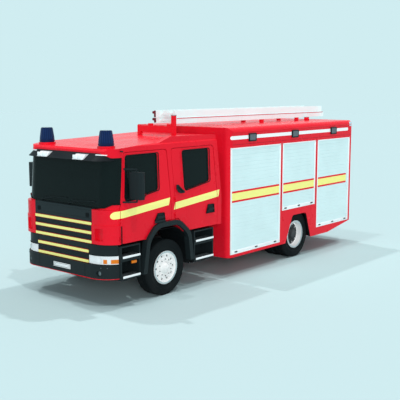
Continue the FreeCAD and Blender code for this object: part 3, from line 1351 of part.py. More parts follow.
def body_fittings():
    lamp_x = (f"{BODY_REAR} - rear_lamp_depth", BODY_REAR)
    lamp = box("tail_lamp", lamp_x, ("rear_lamp_y - rear_lamp_half", "rear_lamp_y + rear_lamp_half"),
               ("rear_lamp_bottom", "rear_lamp_bottom + rear_lamp_height"))
    corner = box("corner_lamp", (f"{BODY_REAR} - corner_lamp_depth", BODY_REAR),
                 ("body_half_width - body_roof_round - corner_lamp_length",
                  "body_half_width - body_roof_round"),
                 ("body_top - body_roof_round - corner_lamp_height", "body_top - body_roof_round"))
    node("rear_lamps", pair("tail_lamps", group("tail_lamps_left", lamp, corner)))
    lamps = []
    for name in ("side_lamp_1", "side_lamp_2", "side_lamp_3"):
        x = f"({BODY_FRONT} - {name})"
        lamps.append(box(name, (f"{x} - side_lamp_length / 2", f"{x} + side_lamp_length / 2"),
                         ("body_half_width", "body_half_width + side_lamp_depth"),
                         ("side_lamp_z - side_lamp_height / 2", "side_lamp_z + side_lamp_height / 2")))
    node("side_lamps", pair("side_lamp_pairs", group("side_lamps_left", *lamps)))
    step = box("rear_step_plate", (REAR, BODY_REAR), ("-rear_step_half", "rear_step_half"),
               ("rear_step_z", "rear_step_z + rear_step_height"))
    brackets = [box("step_bracket", (f"{REAR} + rear_step_height", f"{REAR} + rail_rear_setback"),
                    (a, b), ("rear_step_z + rear_step_height", f"{RAIL_TOP} - rail_web * 4"))
                for a, b in (("rail_half_width - rail_flange", "rail_half_width"),
                             ("-rail_half_width", "-rail_half_width + rail_flange"))]
    node("rear_step", fuse("rear_step_whole", step, *brackets))
    tank_x = f"({REAR_AXLE} + spring_half_length)"
    node("water_tank", box("tank", (f"{tank_x} - tank_length", tank_x),
                           ("-tank_half_width", "tank_half_width"),
                           ("tunnel_top + body_wall", "tunnel_top + body_wall + tank_height")))


# Ladder

def ladder_section(name, half, length, low, height):
    rear = f"({BODY_FRONT} + ladder_front - {length})"
    front = f"({BODY_FRONT} + ladder_front)"
    parts = []
    for sign in (1, -1):
        edge = f"(ladder_centre_y + {sign} * {half})"
        inner = f"(ladder_centre_y + {sign} * ({half} - ladder_rail_width))"
        y = (inner, edge) if sign > 0 else (edge, inner)
        parts.append(box(name + "_rail", (rear, front), y, (low, f"{low} + {height}")))
    pitch = f"(({length} - 2 * rung_edge) / (rung_count - 1))"
    middle = f"({low} + {height} / 2)"
    for i in range(int(number("rung_count"))):
        x = f"({rear} + rung_edge + {pitch} * {i})"
        parts.append(box(name + "_rung", (f"{x} - rung_size / 2", f"{x} + rung_size / 2"),
                         (f"ladder_centre_y - {half} + ladder_rail_width",
                          f"ladder_centre_y + {half} - ladder_rail_width"),
                         (f"{middle} - rung_size / 2", f"{middle} + rung_size / 2")))
    return fuse(name, *parts)


def ladder():
    upper = "(ladder_z + ladder_rail_height + seat_clear)"
    node("ladder_lower", ladder_section("lower_section", "ladder_half_width", "ladder_length",
                                        "ladder_z", "ladder_rail_height"))
    node("ladder_upper", ladder_section("upper_section", "ladder_inner_half",
                                        "upper_ladder_length", upper, "upper_rail_height"))
    parts = []
    rails = ("ladder_centre_y - ladder_half_width",
             "ladder_centre_y + ladder_half_width - pad_width")
    for place in ("pads_1", "pads_2"):
        x = f"({BODY_FRONT} - {place})"
        for y in rails:
            parts.append(box(place + "_pad", (f"{x} - pad_length / 2", f"{x} + pad_length / 2"),
                             (y, f"{y} + pad_width"), ("body_top", "ladder_z")))
    x = f"({CAB_FRONT} - post_back)"
    along = (f"{x} - post_size / 2", f"{x} + post_size / 2")
    feet = [box("cab_post", along, ("post_inner", "post_outer"), ("roof_knee_z", "post_top")),
            box("far_foot", along, ("-post_bar_end", "-post_bar_end + post_size"),
                ("roof_knee_z", "ladder_z - post_bar_drop")),
            box("post_bar", along, ("-post_bar_end", "post_outer"),
                ("ladder_z - post_bar_depth", "ladder_z - post_bar_drop"))]
    for y in ("ladder_centre_y - ladder_half_width", "ladder_centre_y + ladder_half_width - post_size"):
        feet.append(box("ladder_pad", along, (y, f"{y} + post_size"),
                        ("ladder_z - post_bar_depth", "ladder_z")))
    seated = cut("cab_post_seated", fuse("cab_posts", *feet), cab_form("post_seat", "0"))
    node("ladder_gantry", group("gantry", *parts, seated))


# Inside the cab

def inside():
    floor = "(cab_floor + cab_wall)"
    parts = []
    front_x = f"({CAB_FRONT} - front_seat_back)"
    rear_x = f"({CAB_REAR} + cab_wall + rear_seat_gap)"
    for y in ("seat_y", "0 - seat_y"):
        low, high = f"{y} - seat_width / 2", f"{y} + seat_width / 2"
        base = box("seat_base", (front_x, f"{front_x} + seat_depth"), (low, high),
                   ("well_top", "well_top + seat_height / 2"))
        back = box("seat_rest", (front_x, f"{front_x} + seat_thickness"), (low, high),
                   ("well_top + seat_height / 2", "well_top + seat_height / 2 + seat_back"))
        parts.append(fuse("seat", base, back))
    bench = box("bench_base", (rear_x, f"{rear_x} + seat_depth"),
                ("-bench_half_width", "bench_half_width"), (floor, f"{floor} + seat_height"))
    rest = box("bench_rest", (rear_x, f"{rear_x} + seat_thickness"),
               ("-bench_half_width", "bench_half_width"),
               (f"{floor} + seat_height", f"{floor} + seat_height + seat_back"))
    parts.append(fuse("bench", bench, rest))
    node("seats", group("all_seats", *parts))
    dash = box("dash_block", (f"{CAB_FRONT} - cab_wall - dash_depth", f"{CAB_FRONT} - cab_wall"),
               ("-dash_half_width", "dash_half_width"), ("dash_top - dash_height", "dash_top"))
    ring = doc.addObject("Part::Torus", "wheel_ring")
    bind(ring, Radius1="wheel_radius", Radius2="wheel_rim")
    put(ring, f"{CAB_FRONT} - wheel_back", "wheel_y", "wheel_z")
    column = rod("column", "wheel_rim * 1.5", "wheel_z - dash_top",
                 f"{CAB_FRONT} - wheel_back", "wheel_y", "dash_top")
    spoke = box("spoke", (f"{CAB_FRONT} - wheel_back - wheel_radius",
                          f"{CAB_FRONT} - wheel_back + wheel_radius"),
                ("wheel_y - wheel_rim", "wheel_y + wheel_rim"),
                ("wheel_z - wheel_rim / 2", "wheel_z + wheel_rim / 2"))
    node("dashboard", fuse("dashboard_whole", dash, ring, column, spoke))


running_gear()
chassis()
cab()
corner_panels()
flares()
front_end()
steps()
roof_fittings()
body()
shutters()
body_fittings()
ladder()
inside()
doc.recompute()

# Check every object before anything is written
faults = [f"{thing.Name}: {thing.State}" for thing in doc.Objects
          if "Invalid" in thing.State or "Error" in thing.State]
for part in NODES:
    if part.Shape.isNull() or not part.Shape.isValid():
        faults.append(f"{part.Label}: no valid shape")
    elif not part.Shape.Solids:
        faults.append(f"{part.Label}: no solid")
if faults:
    sys.exit("\n".join(faults))

os.makedirs("parts", exist_ok=True)
for part in NODES:
    part.Shape.exportStep(f"parts/{part.Label}.step")
print(len(NODES), "nodes,", sum(len(part.Shape.Solids) for part in NODES), "solids")
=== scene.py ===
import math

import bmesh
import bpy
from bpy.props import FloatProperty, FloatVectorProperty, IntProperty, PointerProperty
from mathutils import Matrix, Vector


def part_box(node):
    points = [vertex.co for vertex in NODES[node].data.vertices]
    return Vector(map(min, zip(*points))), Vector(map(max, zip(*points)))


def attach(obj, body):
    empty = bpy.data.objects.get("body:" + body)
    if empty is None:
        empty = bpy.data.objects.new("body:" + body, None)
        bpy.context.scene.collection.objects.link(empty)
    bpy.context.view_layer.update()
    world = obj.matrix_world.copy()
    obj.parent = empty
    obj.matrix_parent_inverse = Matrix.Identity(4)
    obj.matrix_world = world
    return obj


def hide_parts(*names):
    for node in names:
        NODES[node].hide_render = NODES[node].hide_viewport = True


bl_info = {
    "name": "Fire engine",
    "version": (1, 0, 0),
    "blender": (4, 5, 0),
    "location": "3D View > Sidebar > Fire engine",
    "description": "Finishes, trim and stage for a crew-cab fire engine",
    "category": "Object",
}

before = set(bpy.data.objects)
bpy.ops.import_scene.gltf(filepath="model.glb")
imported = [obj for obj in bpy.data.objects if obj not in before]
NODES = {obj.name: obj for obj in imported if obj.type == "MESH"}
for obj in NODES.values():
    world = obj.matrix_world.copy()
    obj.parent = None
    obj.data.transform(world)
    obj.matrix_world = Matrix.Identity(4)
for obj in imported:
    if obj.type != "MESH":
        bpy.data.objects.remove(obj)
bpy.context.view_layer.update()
SIDES = ((1, "left"), (-1, "right"))
# Vertices closer together than this become one
MERGE = 1e-5


def solids_of(node):
    """The lowest and highest corners of a node's separate solids, at rest, from the rear on."""
    bm = bmesh.new()
    bm.from_mesh(NODES[node].data)
    bmesh.ops.remove_doubles(bm, verts=bm.verts, dist=MERGE)
    boxes, left = [], set(bm.verts)
    while left:
        reached = [left.pop()]
        for vert in reached:
            for edge in vert.link_edges:
                other = edge.other_vert(vert)
                if other in left:
                    left.discard(other)
                    reached.append(other)
        places = [vert.co for vert in reached]
        boxes.append(tuple(Vector([pick(place[axis] for place in places) for axis in range(3)])
                           for pick in (min, max)))
    bm.free()
    return sorted(boxes, key=lambda box: (round(box[0].x, 3), box[0].y, box[0].z))


# Places read from the model
CAB_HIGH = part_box("cab_shell")[1]
BODY_LOW, BODY_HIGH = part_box("body_shell")
TYRE_LOW, TYRE_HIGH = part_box("tyre_front_left")
AXLE = Vector(((TYRE_LOW.x + TYRE_HIGH.x) / 2, 0, (TYRE_LOW.z + TYRE_HIGH.z) / 2))
TWIN_LOW, TWIN_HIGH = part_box("tyres_rear_left")
REAR_AXLE_X = (TWIN_LOW.x + TWIN_HIGH.x) / 2
TYRE_RADIUS = (TYRE_HIGH.z - TYRE_LOW.z) / 2
RIM_LOW, RIM_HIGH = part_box("rim_front_left")
REAR_RIM_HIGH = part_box("rims_rear_left")[1]
BUMPER_LOW, BUMPER_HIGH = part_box("bumper")
SLATS = solids_of("grille_slats")
TREADS = solids_of("step_treads")
BEACONS = solids_of("beacons")
SHUTTERS = sorted(solids_of("shutters_left"), key=lambda box: -box[1].x)
ROOF_LAMPS = solids_of("side_lamps")
TAIL_LAMPS = [box for box in solids_of("rear_lamps") if box[0].z < 2]
TOP_LAMPS = [box for box in solids_of("rear_lamps") if box[0].z > 2]
LADDERS = [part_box("ladder_lower"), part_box("ladder_upper")]

# The cab's side: upright to the belt, then leaning in
CAB_SIDE = CAB_HIGH.y
BELT_Z = 1.66
CAB_TOP_Z = 2.765
SIDE_LEAN = 0.127
SCREEN_X = 3.855
SCREEN_LEAN = 0.07

# Outlines on the cab's side, as (x, z)
FRONT_WINDOW = ((3.584, 1.80), (3.484, 2.545), (2.705, 2.545), (2.760, 1.907), (3.117, 1.852),
                (3.143, 1.80))
REAR_WINDOW = ((2.090, 1.825), (2.072, 2.545), (1.320, 2.545), (1.375, 1.932))


def cab_side(z, out=0.0):
    """How far from the middle the cab's side is at a height."""
    return CAB_SIDE + out - SIDE_LEAN * max(0.0, z - BELT_Z) / (CAB_TOP_Z - BELT_Z)


def screen_x(z, out=0.0):
    """How far forward the windscreen's middle is at a height."""
    return SCREEN_X + out - SCREEN_LEAN * max(0.0, z - BELT_Z) / (CAB_TOP_Z - BELT_Z)


# Settings

def colour(name, text, value):
    return FloatVectorProperty(name=name, description=text, subtype="COLOR", size=3,
                               min=0, max=1, default=value)


def length(name, text, value):
    return FloatProperty(name=name, description=text, default=value, unit="LENGTH", precision=4)


class PaintSettings(bpy.types.PropertyGroup):
    coach_red: colour("Coach red", "Paint of the cab and body", (0.80, 0.008, 0.024))
    shutter_white: colour("Shutter white", "Coating of the roller shutters", (0.70, 0.87, 0.88))
    frame_white: colour("Frame white", "Shutter rails and step edges", (0.90, 0.93, 0.94))
    band_yellow: colour("Band yellow", "Reflective band along the sides", (0.95, 0.90, 0.28))
    stripe_white: colour("Stripe white", "Stripe below the roof edge", (0.93, 0.94, 0.95))
    trim_black: colour("Trim black", "Moulded trim and bumper", (0.012, 0.018, 0.020))
    panel_grey: colour("Panel grey", "Moulded panel above the grille", (0.014, 0.022, 0.025))
    rubber_black: colour("Rubber black", "Tyres and seals", (0.005, 0.007, 0.008))
    glass_tint: colour("Glass tint", "Tint of every pane", (0.006, 0.012, 0.012))
    wheel_silver: colour("Wheel silver", "Paint of the wheel discs", (0.90, 0.88, 0.87))
    beacon_blue: colour("Beacon blue", "Beacon domes", (0.001, 0.012, 0.065))
    amber: colour("Amber", "Turn signal lenses", (0.72, 0.19, 0.01))
    edge_red: colour("Edge red", "Dark red edges of the slats", (0.36, 0.005, 0.016))


class BandSettings(bpy.types.PropertyGroup):
    low: length("Low", "Bottom of the yellow band on the shutters", 1.490)
    high: length("High", "Top of the yellow band on the shutters", 1.635)
    edge: length("Edge", "Width of the red line along the band", 0.038)
    cab_level: length("Cab band level", "Middle of the cab band at the front axle", 1.672)
    cab_width: length("Cab band width", "Width of the cab band", 0.124)
    cab_slope: FloatProperty(name="Cab band slope", description="Rise per metre rearward",
                             default=0.083)
    roof_low: length("Stripe low", "Bottom of the white stripe on the body", 2.668)
    roof_high: length("Stripe high", "Top of the white stripe on the body", 2.738)


class WheelSettings(bpy.types.PropertyGroup):
    lugs: IntProperty(name="Lugs", description="Tread blocks round a tyre", default=64, min=12)
    tread_depth: length("Tread depth", "Depth of the grooves", 0.011)
    nuts: IntProperty(name="Nuts", description="Wheel nuts on a hub", default=10, min=5)
    nut_circle: length("Nut circle", "Radius of the wheel nuts' circle", 0.150)
    nut_size: length("Nut size", "Radius over a nut's corners", 0.017)


class TrimSettings(bpy.types.PropertyGroup):
    seal_width: length("Seal width", "Width of a window's rubber seal", 0.016)
    seal_proud: length("Seal proud", "How far a seal stands off the skin", 0.004)
    rail_width: length("Rail width", "Width of a shutter's guide rail", 0.030)
    bar_height: length("Bar height", "Height of a shutter's bottom bar", 0.055)
    stud_pitch: length("Stud pitch", "Spacing of the studs on a tread", 0.032)
    louvre_height: length("Louvre height", "Height of a grille louvre", 0.014)
    blade_length: length("Blade length", "Length of a wiper blade", 0.62)
    seam: length("Seam", "Width of a panel seam's sealer", 0.006)


class StageSettings(bpy.types.PropertyGroup):
    camera_x: length("Camera X", "Camera's place along the vehicle", 12.3116)
    camera_y: length("Camera Y", "Camera's place to the left", 10.1651)
    camera_z: length("Camera Z", "Camera's height", 3.6407)
    heading: FloatProperty(name="Heading", description="Direction of view from +X, degrees",
                           default=220.156)
    pitch: FloatProperty(name="Pitch", description="Degrees below the horizon", default=8.308)
    lens: FloatProperty(name="Lens", description="Focal length on a 36 mm sensor",
                        default=68.813, unit="CAMERA")
    floor: colour("Floor", "Floor colour", (0.451, 0.585, 0.598))
    backdrop: colour("Backdrop", "Background colour", (0.631, 0.847, 0.880))
    sky: FloatProperty(name="Sky", description="Strength of the light from all round",
                       default=0.38, min=0, max=1)


SETTINGS = {"fire_paint": PaintSettings, "fire_band": BandSettings, "fire_wheel": WheelSettings,
            "fire_trim": TrimSettings, "fire_stage": StageSettings}


def settings(name):
    return getattr(bpy.context.scene, name)


# Shader helpers

# How much darker the cloudy patches of a finish are, and the colour of road film
CLOUDY = 0.93
FILM = (0.22, 0.21, 0.20)

class Nodes:
    """A short way to write a node tree."""

    def __init__(self, tree):
        self.tree = tree

    def add(self, kind, **values):
        node = self.tree.nodes.new(kind)
        for key, value in values.items():
            if hasattr(node, key):
                setattr(node, key, value)
            else:
                self.feed(node.inputs[key.replace("_", " ")], value)
        return node

    def feed(self, socket, value):
        if isinstance(value, bpy.types.NodeSocket):
            self.tree.links.new(value, socket)
        elif socket.type == "RGBA" and len(value) == 3:
            socket.default_value = (*value, 1)
        else:
            socket.default_value = value

    def maths(self, operation, *values):
        node = self.add("ShaderNodeMath", operation=operation)
        for socket, value in zip(node.inputs, values):
            self.feed(socket, value)
        return node.outputs[0]

    def mix(self, factor, a, b):
        node = self.add("ShaderNodeMix", data_type="RGBA")
        self.feed(node.inputs["Factor"], factor)
        self.feed(node.inputs[6], a)
        self.feed(node.inputs[7], b)
        return node.outputs[2]

    def place(self):
        return self.add("ShaderNodeTexCoord").outputs["Object"]

    def noise(self, scale, detail=3.0, vector=None):
        node = self.add("ShaderNodeTexNoise")
        self.feed(node.inputs["Vector"], vector or self.place())
        node.inputs["Scale"].default_value = scale
        node.inputs["Detail"].default_value = detail
        return node.outputs["Fac"]

    def spread(self, value, low, high, to_low=0.0, to_high=1.0):
        node = self.add("ShaderNodeMapRange")
        self.feed(node.inputs["Value"], value)
        for socket, limit in zip(("From Min", "From Max", "To Min", "To Max"),
                                 (low, high, to_low, to_high)):
            self.feed(node.inputs[socket], limit)
        return node.outputs[0]

    def bump(self, height, strength=0.3, distance=0.001):
        node = self.add("ShaderNodeBump")
        node.inputs["Strength"].default_value = strength
        node.inputs["Distance"].default_value = distance
        self.feed(node.inputs["Height"], height)
        return node.outputs["Normal"]


def group(name, inputs, outputs):
    """A new shader group with float inputs {name: default} and outputs by kind."""
    tree = bpy.data.node_groups.new(name, "ShaderNodeTree")
    for key, value in inputs.items():
        socket = tree.interface.new_socket(key, in_out="INPUT", socket_type="NodeSocketFloat")
        socket.default_value = value
    for key, kind in outputs.items():
        tree.interface.new_socket(key, in_out="OUTPUT", socket_type=kind)
    nodes = Nodes(tree)
    return nodes, nodes.add("NodeGroupInput").outputs, nodes.add("NodeGroupOutput").inputs


def stripe_group():
    """A mask of a round-cornered band along X on outer faces, whose level may rise rearward."""
    nodes, given, out = group("Stripe", {"Middle": 0, "Reach": 1, "Level": 0, "Half": 0.05,
                                         "Round": 0.001, "Slope": 0, "Start": 0, "Slant": 0},
                              {"Mask": "NodeSocketFloat"})
    spot = nodes.add("ShaderNodeTexCoord").outputs
    x, y, z = nodes.add("ShaderNodeSeparateXYZ", Vector=spot["Object"]).outputs
    facing = nodes.add("ShaderNodeSeparateXYZ", Vector=spot["Normal"]).outputs[1]
    outer = nodes.maths("GREATER_THAN", nodes.maths("MULTIPLY", y, facing), 0.2)
    behind = nodes.maths("SUBTRACT", given["Start"], x)
    rise = nodes.maths("MULTIPLY", behind, given["Slope"])
    off = nodes.maths("SUBTRACT", nodes.maths("SUBTRACT", z, rise), given["Level"])
    slid = nodes.maths("SUBTRACT", x, nodes.maths("MULTIPLY", off, given["Slant"]))
    away = nodes.maths("ABSOLUTE", nodes.maths("SUBTRACT", slid, given["Middle"]))
    past = []
    for distance, limit in ((away, given["Reach"]), (nodes.maths("ABSOLUTE", off), given["Half"])):
        inner = nodes.maths("SUBTRACT", limit, given["Round"])
        over = nodes.maths("MAXIMUM", nodes.maths("SUBTRACT", distance, inner), 0.0)
        past.append(nodes.maths("MULTIPLY", over, over))
    square = nodes.maths("MULTIPLY", given["Round"], given["Round"])
    within = nodes.maths("LESS_THAN", nodes.maths("ADD", *past), square)
    nodes.feed(out["Mask"], nodes.maths("MULTIPLY", within, outer))
    return nodes.tree


def film_group():
    """Road film: a mask that thickens towards the ground, broken up by noise."""
    nodes, given, out = group("Road film", {"Top": 1.2, "Amount": 0.2},
                              {"Mask": "NodeSocketFloat"})
    z = nodes.add("ShaderNodeSeparateXYZ", Vector=nodes.place()).outputs[2]
    low = nodes.maths("SUBTRACT", 1.0, nodes.maths("DIVIDE", z, given["Top"]))
    low = nodes.maths("MAXIMUM", low, 0.0)
    broken = nodes.spread(nodes.noise(5.0, 5.0), 0.35, 0.75)
    fine = nodes.spread(nodes.noise(60.0, 2.0), 0.3, 0.8, 0.6, 1.0)
    mask = nodes.maths("MULTIPLY", nodes.maths("MULTIPLY", low, broken), fine)
    nodes.feed(out["Mask"], nodes.maths("MULTIPLY", mask, given["Amount"]))
    return nodes.tree


def skin_group():
    """Surface of a sprayed or moulded piece: a fine height and an uneven gloss."""
    nodes, given, out = group("Skin", {"Scale": 220.0, "Rough": 0.3, "Uneven": 0.08},
                              {"Height": "NodeSocketFloat", "Roughness": "NodeSocketFloat"})
    vector = nodes.add("ShaderNodeVectorMath", operation="SCALE", Vector=nodes.place())
    nodes.feed(vector.inputs["Scale"], given["Scale"])
    nodes.feed(out["Height"], nodes.noise(1.0, 2.0, vector.outputs[0]))
    cloudy = nodes.spread(nodes.noise(3.0, 4.0), 0.3, 0.7, -1.0, 1.0)
    varied = nodes.maths("MULTIPLY", cloudy, given["Uneven"])
    nodes.feed(out["Roughness"], nodes.maths("ADD", given["Rough"], varied))
    return nodes.tree


def flute_group():
    """Moulded flutes of a lens: a height that waves along each axis at its own pitch."""
    nodes, given, out = group("Flutes", {"Across": 0.0, "Upright": 0.0},
                              {"Height": "NodeSocketFloat"})
    x, y, z = nodes.add("ShaderNodeSeparateXYZ", Vector=nodes.place()).outputs
    along = nodes.maths("ADD", x, y)
    first = nodes.maths("SINE", nodes.maths("MULTIPLY", along, given["Across"]))
    second = nodes.maths("SINE", nodes.maths("MULTIPLY", z, given["Upright"]))
    nodes.feed(out["Height"], nodes.maths("ADD", first, second))
    return nodes.tree


GROUPS = {}
MATERIALS = {}


def placed_group(nodes, name, **values):
    if not GROUPS:
        GROUPS.update(stripe=stripe_group(), film=film_group(), skin=skin_group(),
                      flutes=flute_group())
    node = nodes.add("ShaderNodeGroup", node_tree=GROUPS[name])
    for key, value in values.items():
        nodes.feed(node.inputs[key.capitalize()], value)
    return node.outputs


def surface(name, base, rough=0.3, uneven=0.06, grain=220.0, bump=0.15, film=0.0, metallic=0.0,
            coat=0.0, patches=(), specular=0.12, flutes=None, alpha=1.0, glow=0.0):
    """A finish: a base colour, coloured patches, road film, grain or flutes, and gloss."""
    if name in MATERIALS:
        return MATERIALS[name]
    material = bpy.data.materials.new(name)
    material.use_nodes = True
    nodes = Nodes(material.node_tree)
    shader = material.node_tree.nodes["Principled BSDF"]
    tone = nodes.mix(nodes.spread(nodes.noise(1.7, 4.0), 0.3, 0.7, 0.0, 1.0),
                     base, tuple(part * CLOUDY for part in base))
    for patch_colour, limits in patches:
        mask = placed_group(nodes, "stripe", **limits)["Mask"]
        tone = nodes.mix(mask, tone, patch_colour)
    if film:
        mask = placed_group(nodes, "film", amount=film)["Mask"]
        tone = nodes.mix(mask, tone, FILM)
    skin = placed_group(nodes, "skin", scale=grain, rough=rough, uneven=uneven)
    height = skin["Height"]
    if flutes:
        height = placed_group(nodes, "flutes", across=flutes[0], upright=flutes[1])["Height"]
    nodes.feed(shader.inputs["Base Color"], tone)
    nodes.feed(shader.inputs["Roughness"], skin["Roughness"])
    nodes.feed(shader.inputs["Normal"], nodes.bump(height, bump, 0.0006))
    shader.inputs["Metallic"].default_value = metallic
    shader.inputs["Coat Weight"].default_value = coat
    shader.inputs["Coat Roughness"].default_value = 0.06
    shader.inputs["Specular IOR Level"].default_value = specular
    shader.inputs["Alpha"].default_value = alpha
    if glow:
        nodes.feed(shader.inputs["Emission Color"], tone)
        shader.inputs["Emission Strength"].default_value = glow
    MATERIALS[name] = material
    return material


def band(back, front, level, half, corner=0.001, **rest):
    """The settings of one stripe between two stations."""
    return dict(middle=(back + front) / 2, reach=(front - back) / 2, level=level, half=half,
                round=corner, **rest)


# How far the band stays off each shutter's front and rear edges
BAND_INSETS = ((0.045, 0.020), (0.045, 0.030), (0.045, 0.110))


def shutter_patches():
    paint, sizes = settings("fire_paint"), settings("fire_band")
    level, half = (sizes.low + sizes.high) / 2, (sizes.high - sizes.low) / 2
    patches = []
    for (low, high), (lead, trail) in zip(SHUTTERS, BAND_INSETS):
        back, ahead = low.x + trail, high.x - lead
        patches.append((paint.coach_red, band(back, ahead, level, half + sizes.edge)))
        patches.append((paint.band_yellow, band(back, ahead, level, half)))
    return patches


def cab_patches():
    """The cab's band in two runs, the rear one a step lower, with slanted ends between."""
    paint, sizes = settings("fire_paint"), settings("fire_band")
    half = sizes.cab_width / 2
    shared = dict(slope=sizes.cab_slope, start=AXLE.x, slant=-0.35)
    run_step = 0.112
    return [(paint.band_yellow, band(AXLE.x - 0.065, AXLE.x + 1.24, sizes.cab_level, half, half,
                                     **dict(shared, slant=-0.1))),
            (paint.band_yellow, band(AXLE.x - 0.085, AXLE.x + 0.6, sizes.cab_level, half,
                                     **shared)),
            (paint.band_yellow, band(AXLE.x - 1.47, AXLE.x - 0.215, sizes.cab_level - run_step,
                                     half, **shared))]


def coach_red(kind="body"):
    paint, sizes = settings("fire_paint"), settings("fire_band")
    if kind == "cab":
        return surface("cab_red", paint.coach_red, 0.28, 0.05, 90.0, 0.02, coat=0.02,
                       patches=cab_patches())
    half = (sizes.roof_high - sizes.roof_low) / 2
    stripe = band(BODY_LOW.x + 0.155, BODY_HIGH.x - 0.055, sizes.roof_low + half, half, half)
    return surface("body_red", paint.coach_red, 0.28, 0.05, 90.0, 0.02, coat=0.02,
                   patches=[(paint.stripe_white, stripe)])


def plain(name, base, rough=0.5):
    """A finish of even gloss without patches, film or coat."""
    return surface(name, base, rough, 0.06, 120.0, 0.1)


def trim_red():
    return surface("trim_red", settings("fire_paint").coach_red, 0.3, 0.05, 90.0, 0.06, coat=0.02)


def trim_black():
    return surface("trim_black", settings("fire_paint").trim_black, 0.42, 0.08, 500.0, 0.25, 0.02)


def panel_grey():
    return surface("panel_grey", settings("fire_paint").panel_grey, 0.38, 0.08, 500.0, 0.3)


def rubber():
    return surface("rubber", settings("fire_paint").rubber_black, 0.72, 0.08, 350.0, 0.3, 0.05,
                   specular=0.1)


def frame_white():
    return plain("frame_white", settings("fire_paint").frame_white, 0.34)


def chassis_black():
    return surface("chassis_black", (0.022, 0.024, 0.026), 0.5, 0.12, 120.0, 0.3, 0.6)


def cast_grey():
    return surface("cast_grey", (0.055, 0.055, 0.058), 0.6, 0.12, 90.0, 0.6, 0.6, metallic=0.3)


def bright_metal():
    return surface("bright_metal", (0.62, 0.66, 0.68), 0.28, 0.08, 160.0, 0.12, 0.2, metallic=0.9)


def dull_metal():
    return surface("dull_metal", (0.16, 0.18, 0.19), 0.42, 0.10, 160.0, 0.25, 0.3, metallic=0.7)


def tread_plate():
    return surface("tread_plate", (0.60, 0.66, 0.69), 0.38, 0.10, 110.0, 0.3, 0.2, metallic=0.75)


def tread_dark():
    return surface("tread_dark", (0.07, 0.08, 0.085), 0.5, 0.10, 110.0, 0.3, 0.1, metallic=0.4)


def wheel_silver():
    return surface("wheel_silver", settings("fire_paint").wheel_silver, 0.32, 0.06, 140.0, 0.1,
                   0.06, coat=0.05)


# The ladder's white also glows a little: painted light
def ladder_white():
    return surface("ladder_white", (0.78, 0.98, 0.98), 0.36, 0.08, 60.0, 0.05, glow=0.11)


def dark_glass():
    return surface("dark_glass", settings("fire_paint").glass_tint, 0.05, 0.02, 20.0, 0.0,
                   alpha=0.93, specular=0.07)


def mirror_glass():
    return surface("mirror_glass", (0.80, 0.83, 0.85), 0.05, 0.02, 20.0, 0.0, metallic=1.0)


def clear_lens():
    return surface("clear_lens", (0.93, 0.97, 0.99), 0.08, 0.02, 40.0, 0.35, coat=0.2, glow=0.12,
                   flutes=(520.0, 0.0), alpha=0.72)


def lens(name, base, rough=0.12, flutes=None, glow=0.0):
    return surface(name, base, rough, 0.03, 60.0, 0.25, coat=0.15, flutes=flutes, glow=glow)


def amber_lens():
    return lens("amber_lens", settings("fire_paint").amber, flutes=(900.0, 900.0), glow=0.04)


def seat_cloth():
    return surface("seat_cloth", (0.035, 0.042, 0.055), 0.85, 0.05, 900.0, 0.8)


# Mesh helpers

def meshes(count):
    """Some empty meshes to build pieces in."""
    return [bmesh.new() for _ in range(count)]


def turns(count, shift=0.0):
    """The cosine and sine of evenly spaced angles round a circle."""
    angles = [2 * math.pi * (i + shift) / count for i in range(count)]
    return [(math.cos(angle), math.sin(angle)) for angle in angles]


def upright(x, ys, zs):
    """The corners of an upright rectangle across the vehicle."""
    return [(x, ys[0], zs[0]), (x, ys[1], zs[0]), (x, ys[1], zs[1]), (x, ys[0], zs[1])]


def round_off(bm, geom, bevel, segments=2, affect="EDGES"):
    bmesh.ops.bevel(bm, geom=geom, offset=bevel, offset_type="OFFSET", segments=segments,
                    profile=0.5, affect=affect, clamp_overlap=True, material=-1)


def soften(bm, verts, bevel, segments=2):
    """Rounds every edge between some vertices."""
    round_off(bm, list({edge for vert in verts for edge in vert.link_edges}), bevel, segments)


def box_into(bm, low, high, bevel=0.0):
    """A block between two corners, its edges rounded."""
    low, high = Vector(low), Vector(high)
    made = bmesh.ops.create_cube(bm, size=1)["verts"]
    bmesh.ops.scale(bm, vec=high - low, verts=made)
    bmesh.ops.translate(bm, vec=(low + high) / 2, verts=made)
    if bevel:
        soften(bm, made, bevel)


def rod_into(bm, start, end, radius, sides=24, bevel=0.0, end_radius=None):
    """A round bar between two points, with rounded ends."""
    start, end = Vector(start), Vector(end)
    along = end - start
    turn = along.to_track_quat("Z", "Y").to_matrix().to_4x4()
    place = Matrix.Translation((start + end) / 2) @ turn
    made = bmesh.ops.create_cone(bm, cap_ends=True, segments=sides, radius1=radius,
                                 radius2=radius if end_radius is None else end_radius,
                                 depth=along.length, matrix=place)["verts"]
    if bevel:
        rims = [edge for edge in {e for v in made for e in v.link_edges}
                if any(len(face.verts) > 4 for face in edge.link_faces)]
        round_off(bm, rims, bevel)


def stud_into(bm, spot, radius, end_radius):
    """A low six-sided stud that tapers upwards."""
    rod_into(bm, spot - Vector((0, 0, 0.001)), spot + Vector((0, 0, 0.004)), radius, 6,
             end_radius=end_radius)


def pipe_into(bm, points, radius, sides=12):
    """A bent round bar: straight runs with a ball at each bend."""
    for start, end in zip(points, points[1:]):
        rod_into(bm, start, end, radius, sides)
    for point in points[1:-1]:
        bmesh.ops.create_icosphere(bm, subdivisions=2, radius=radius,
                                   matrix=Matrix.Translation(point))


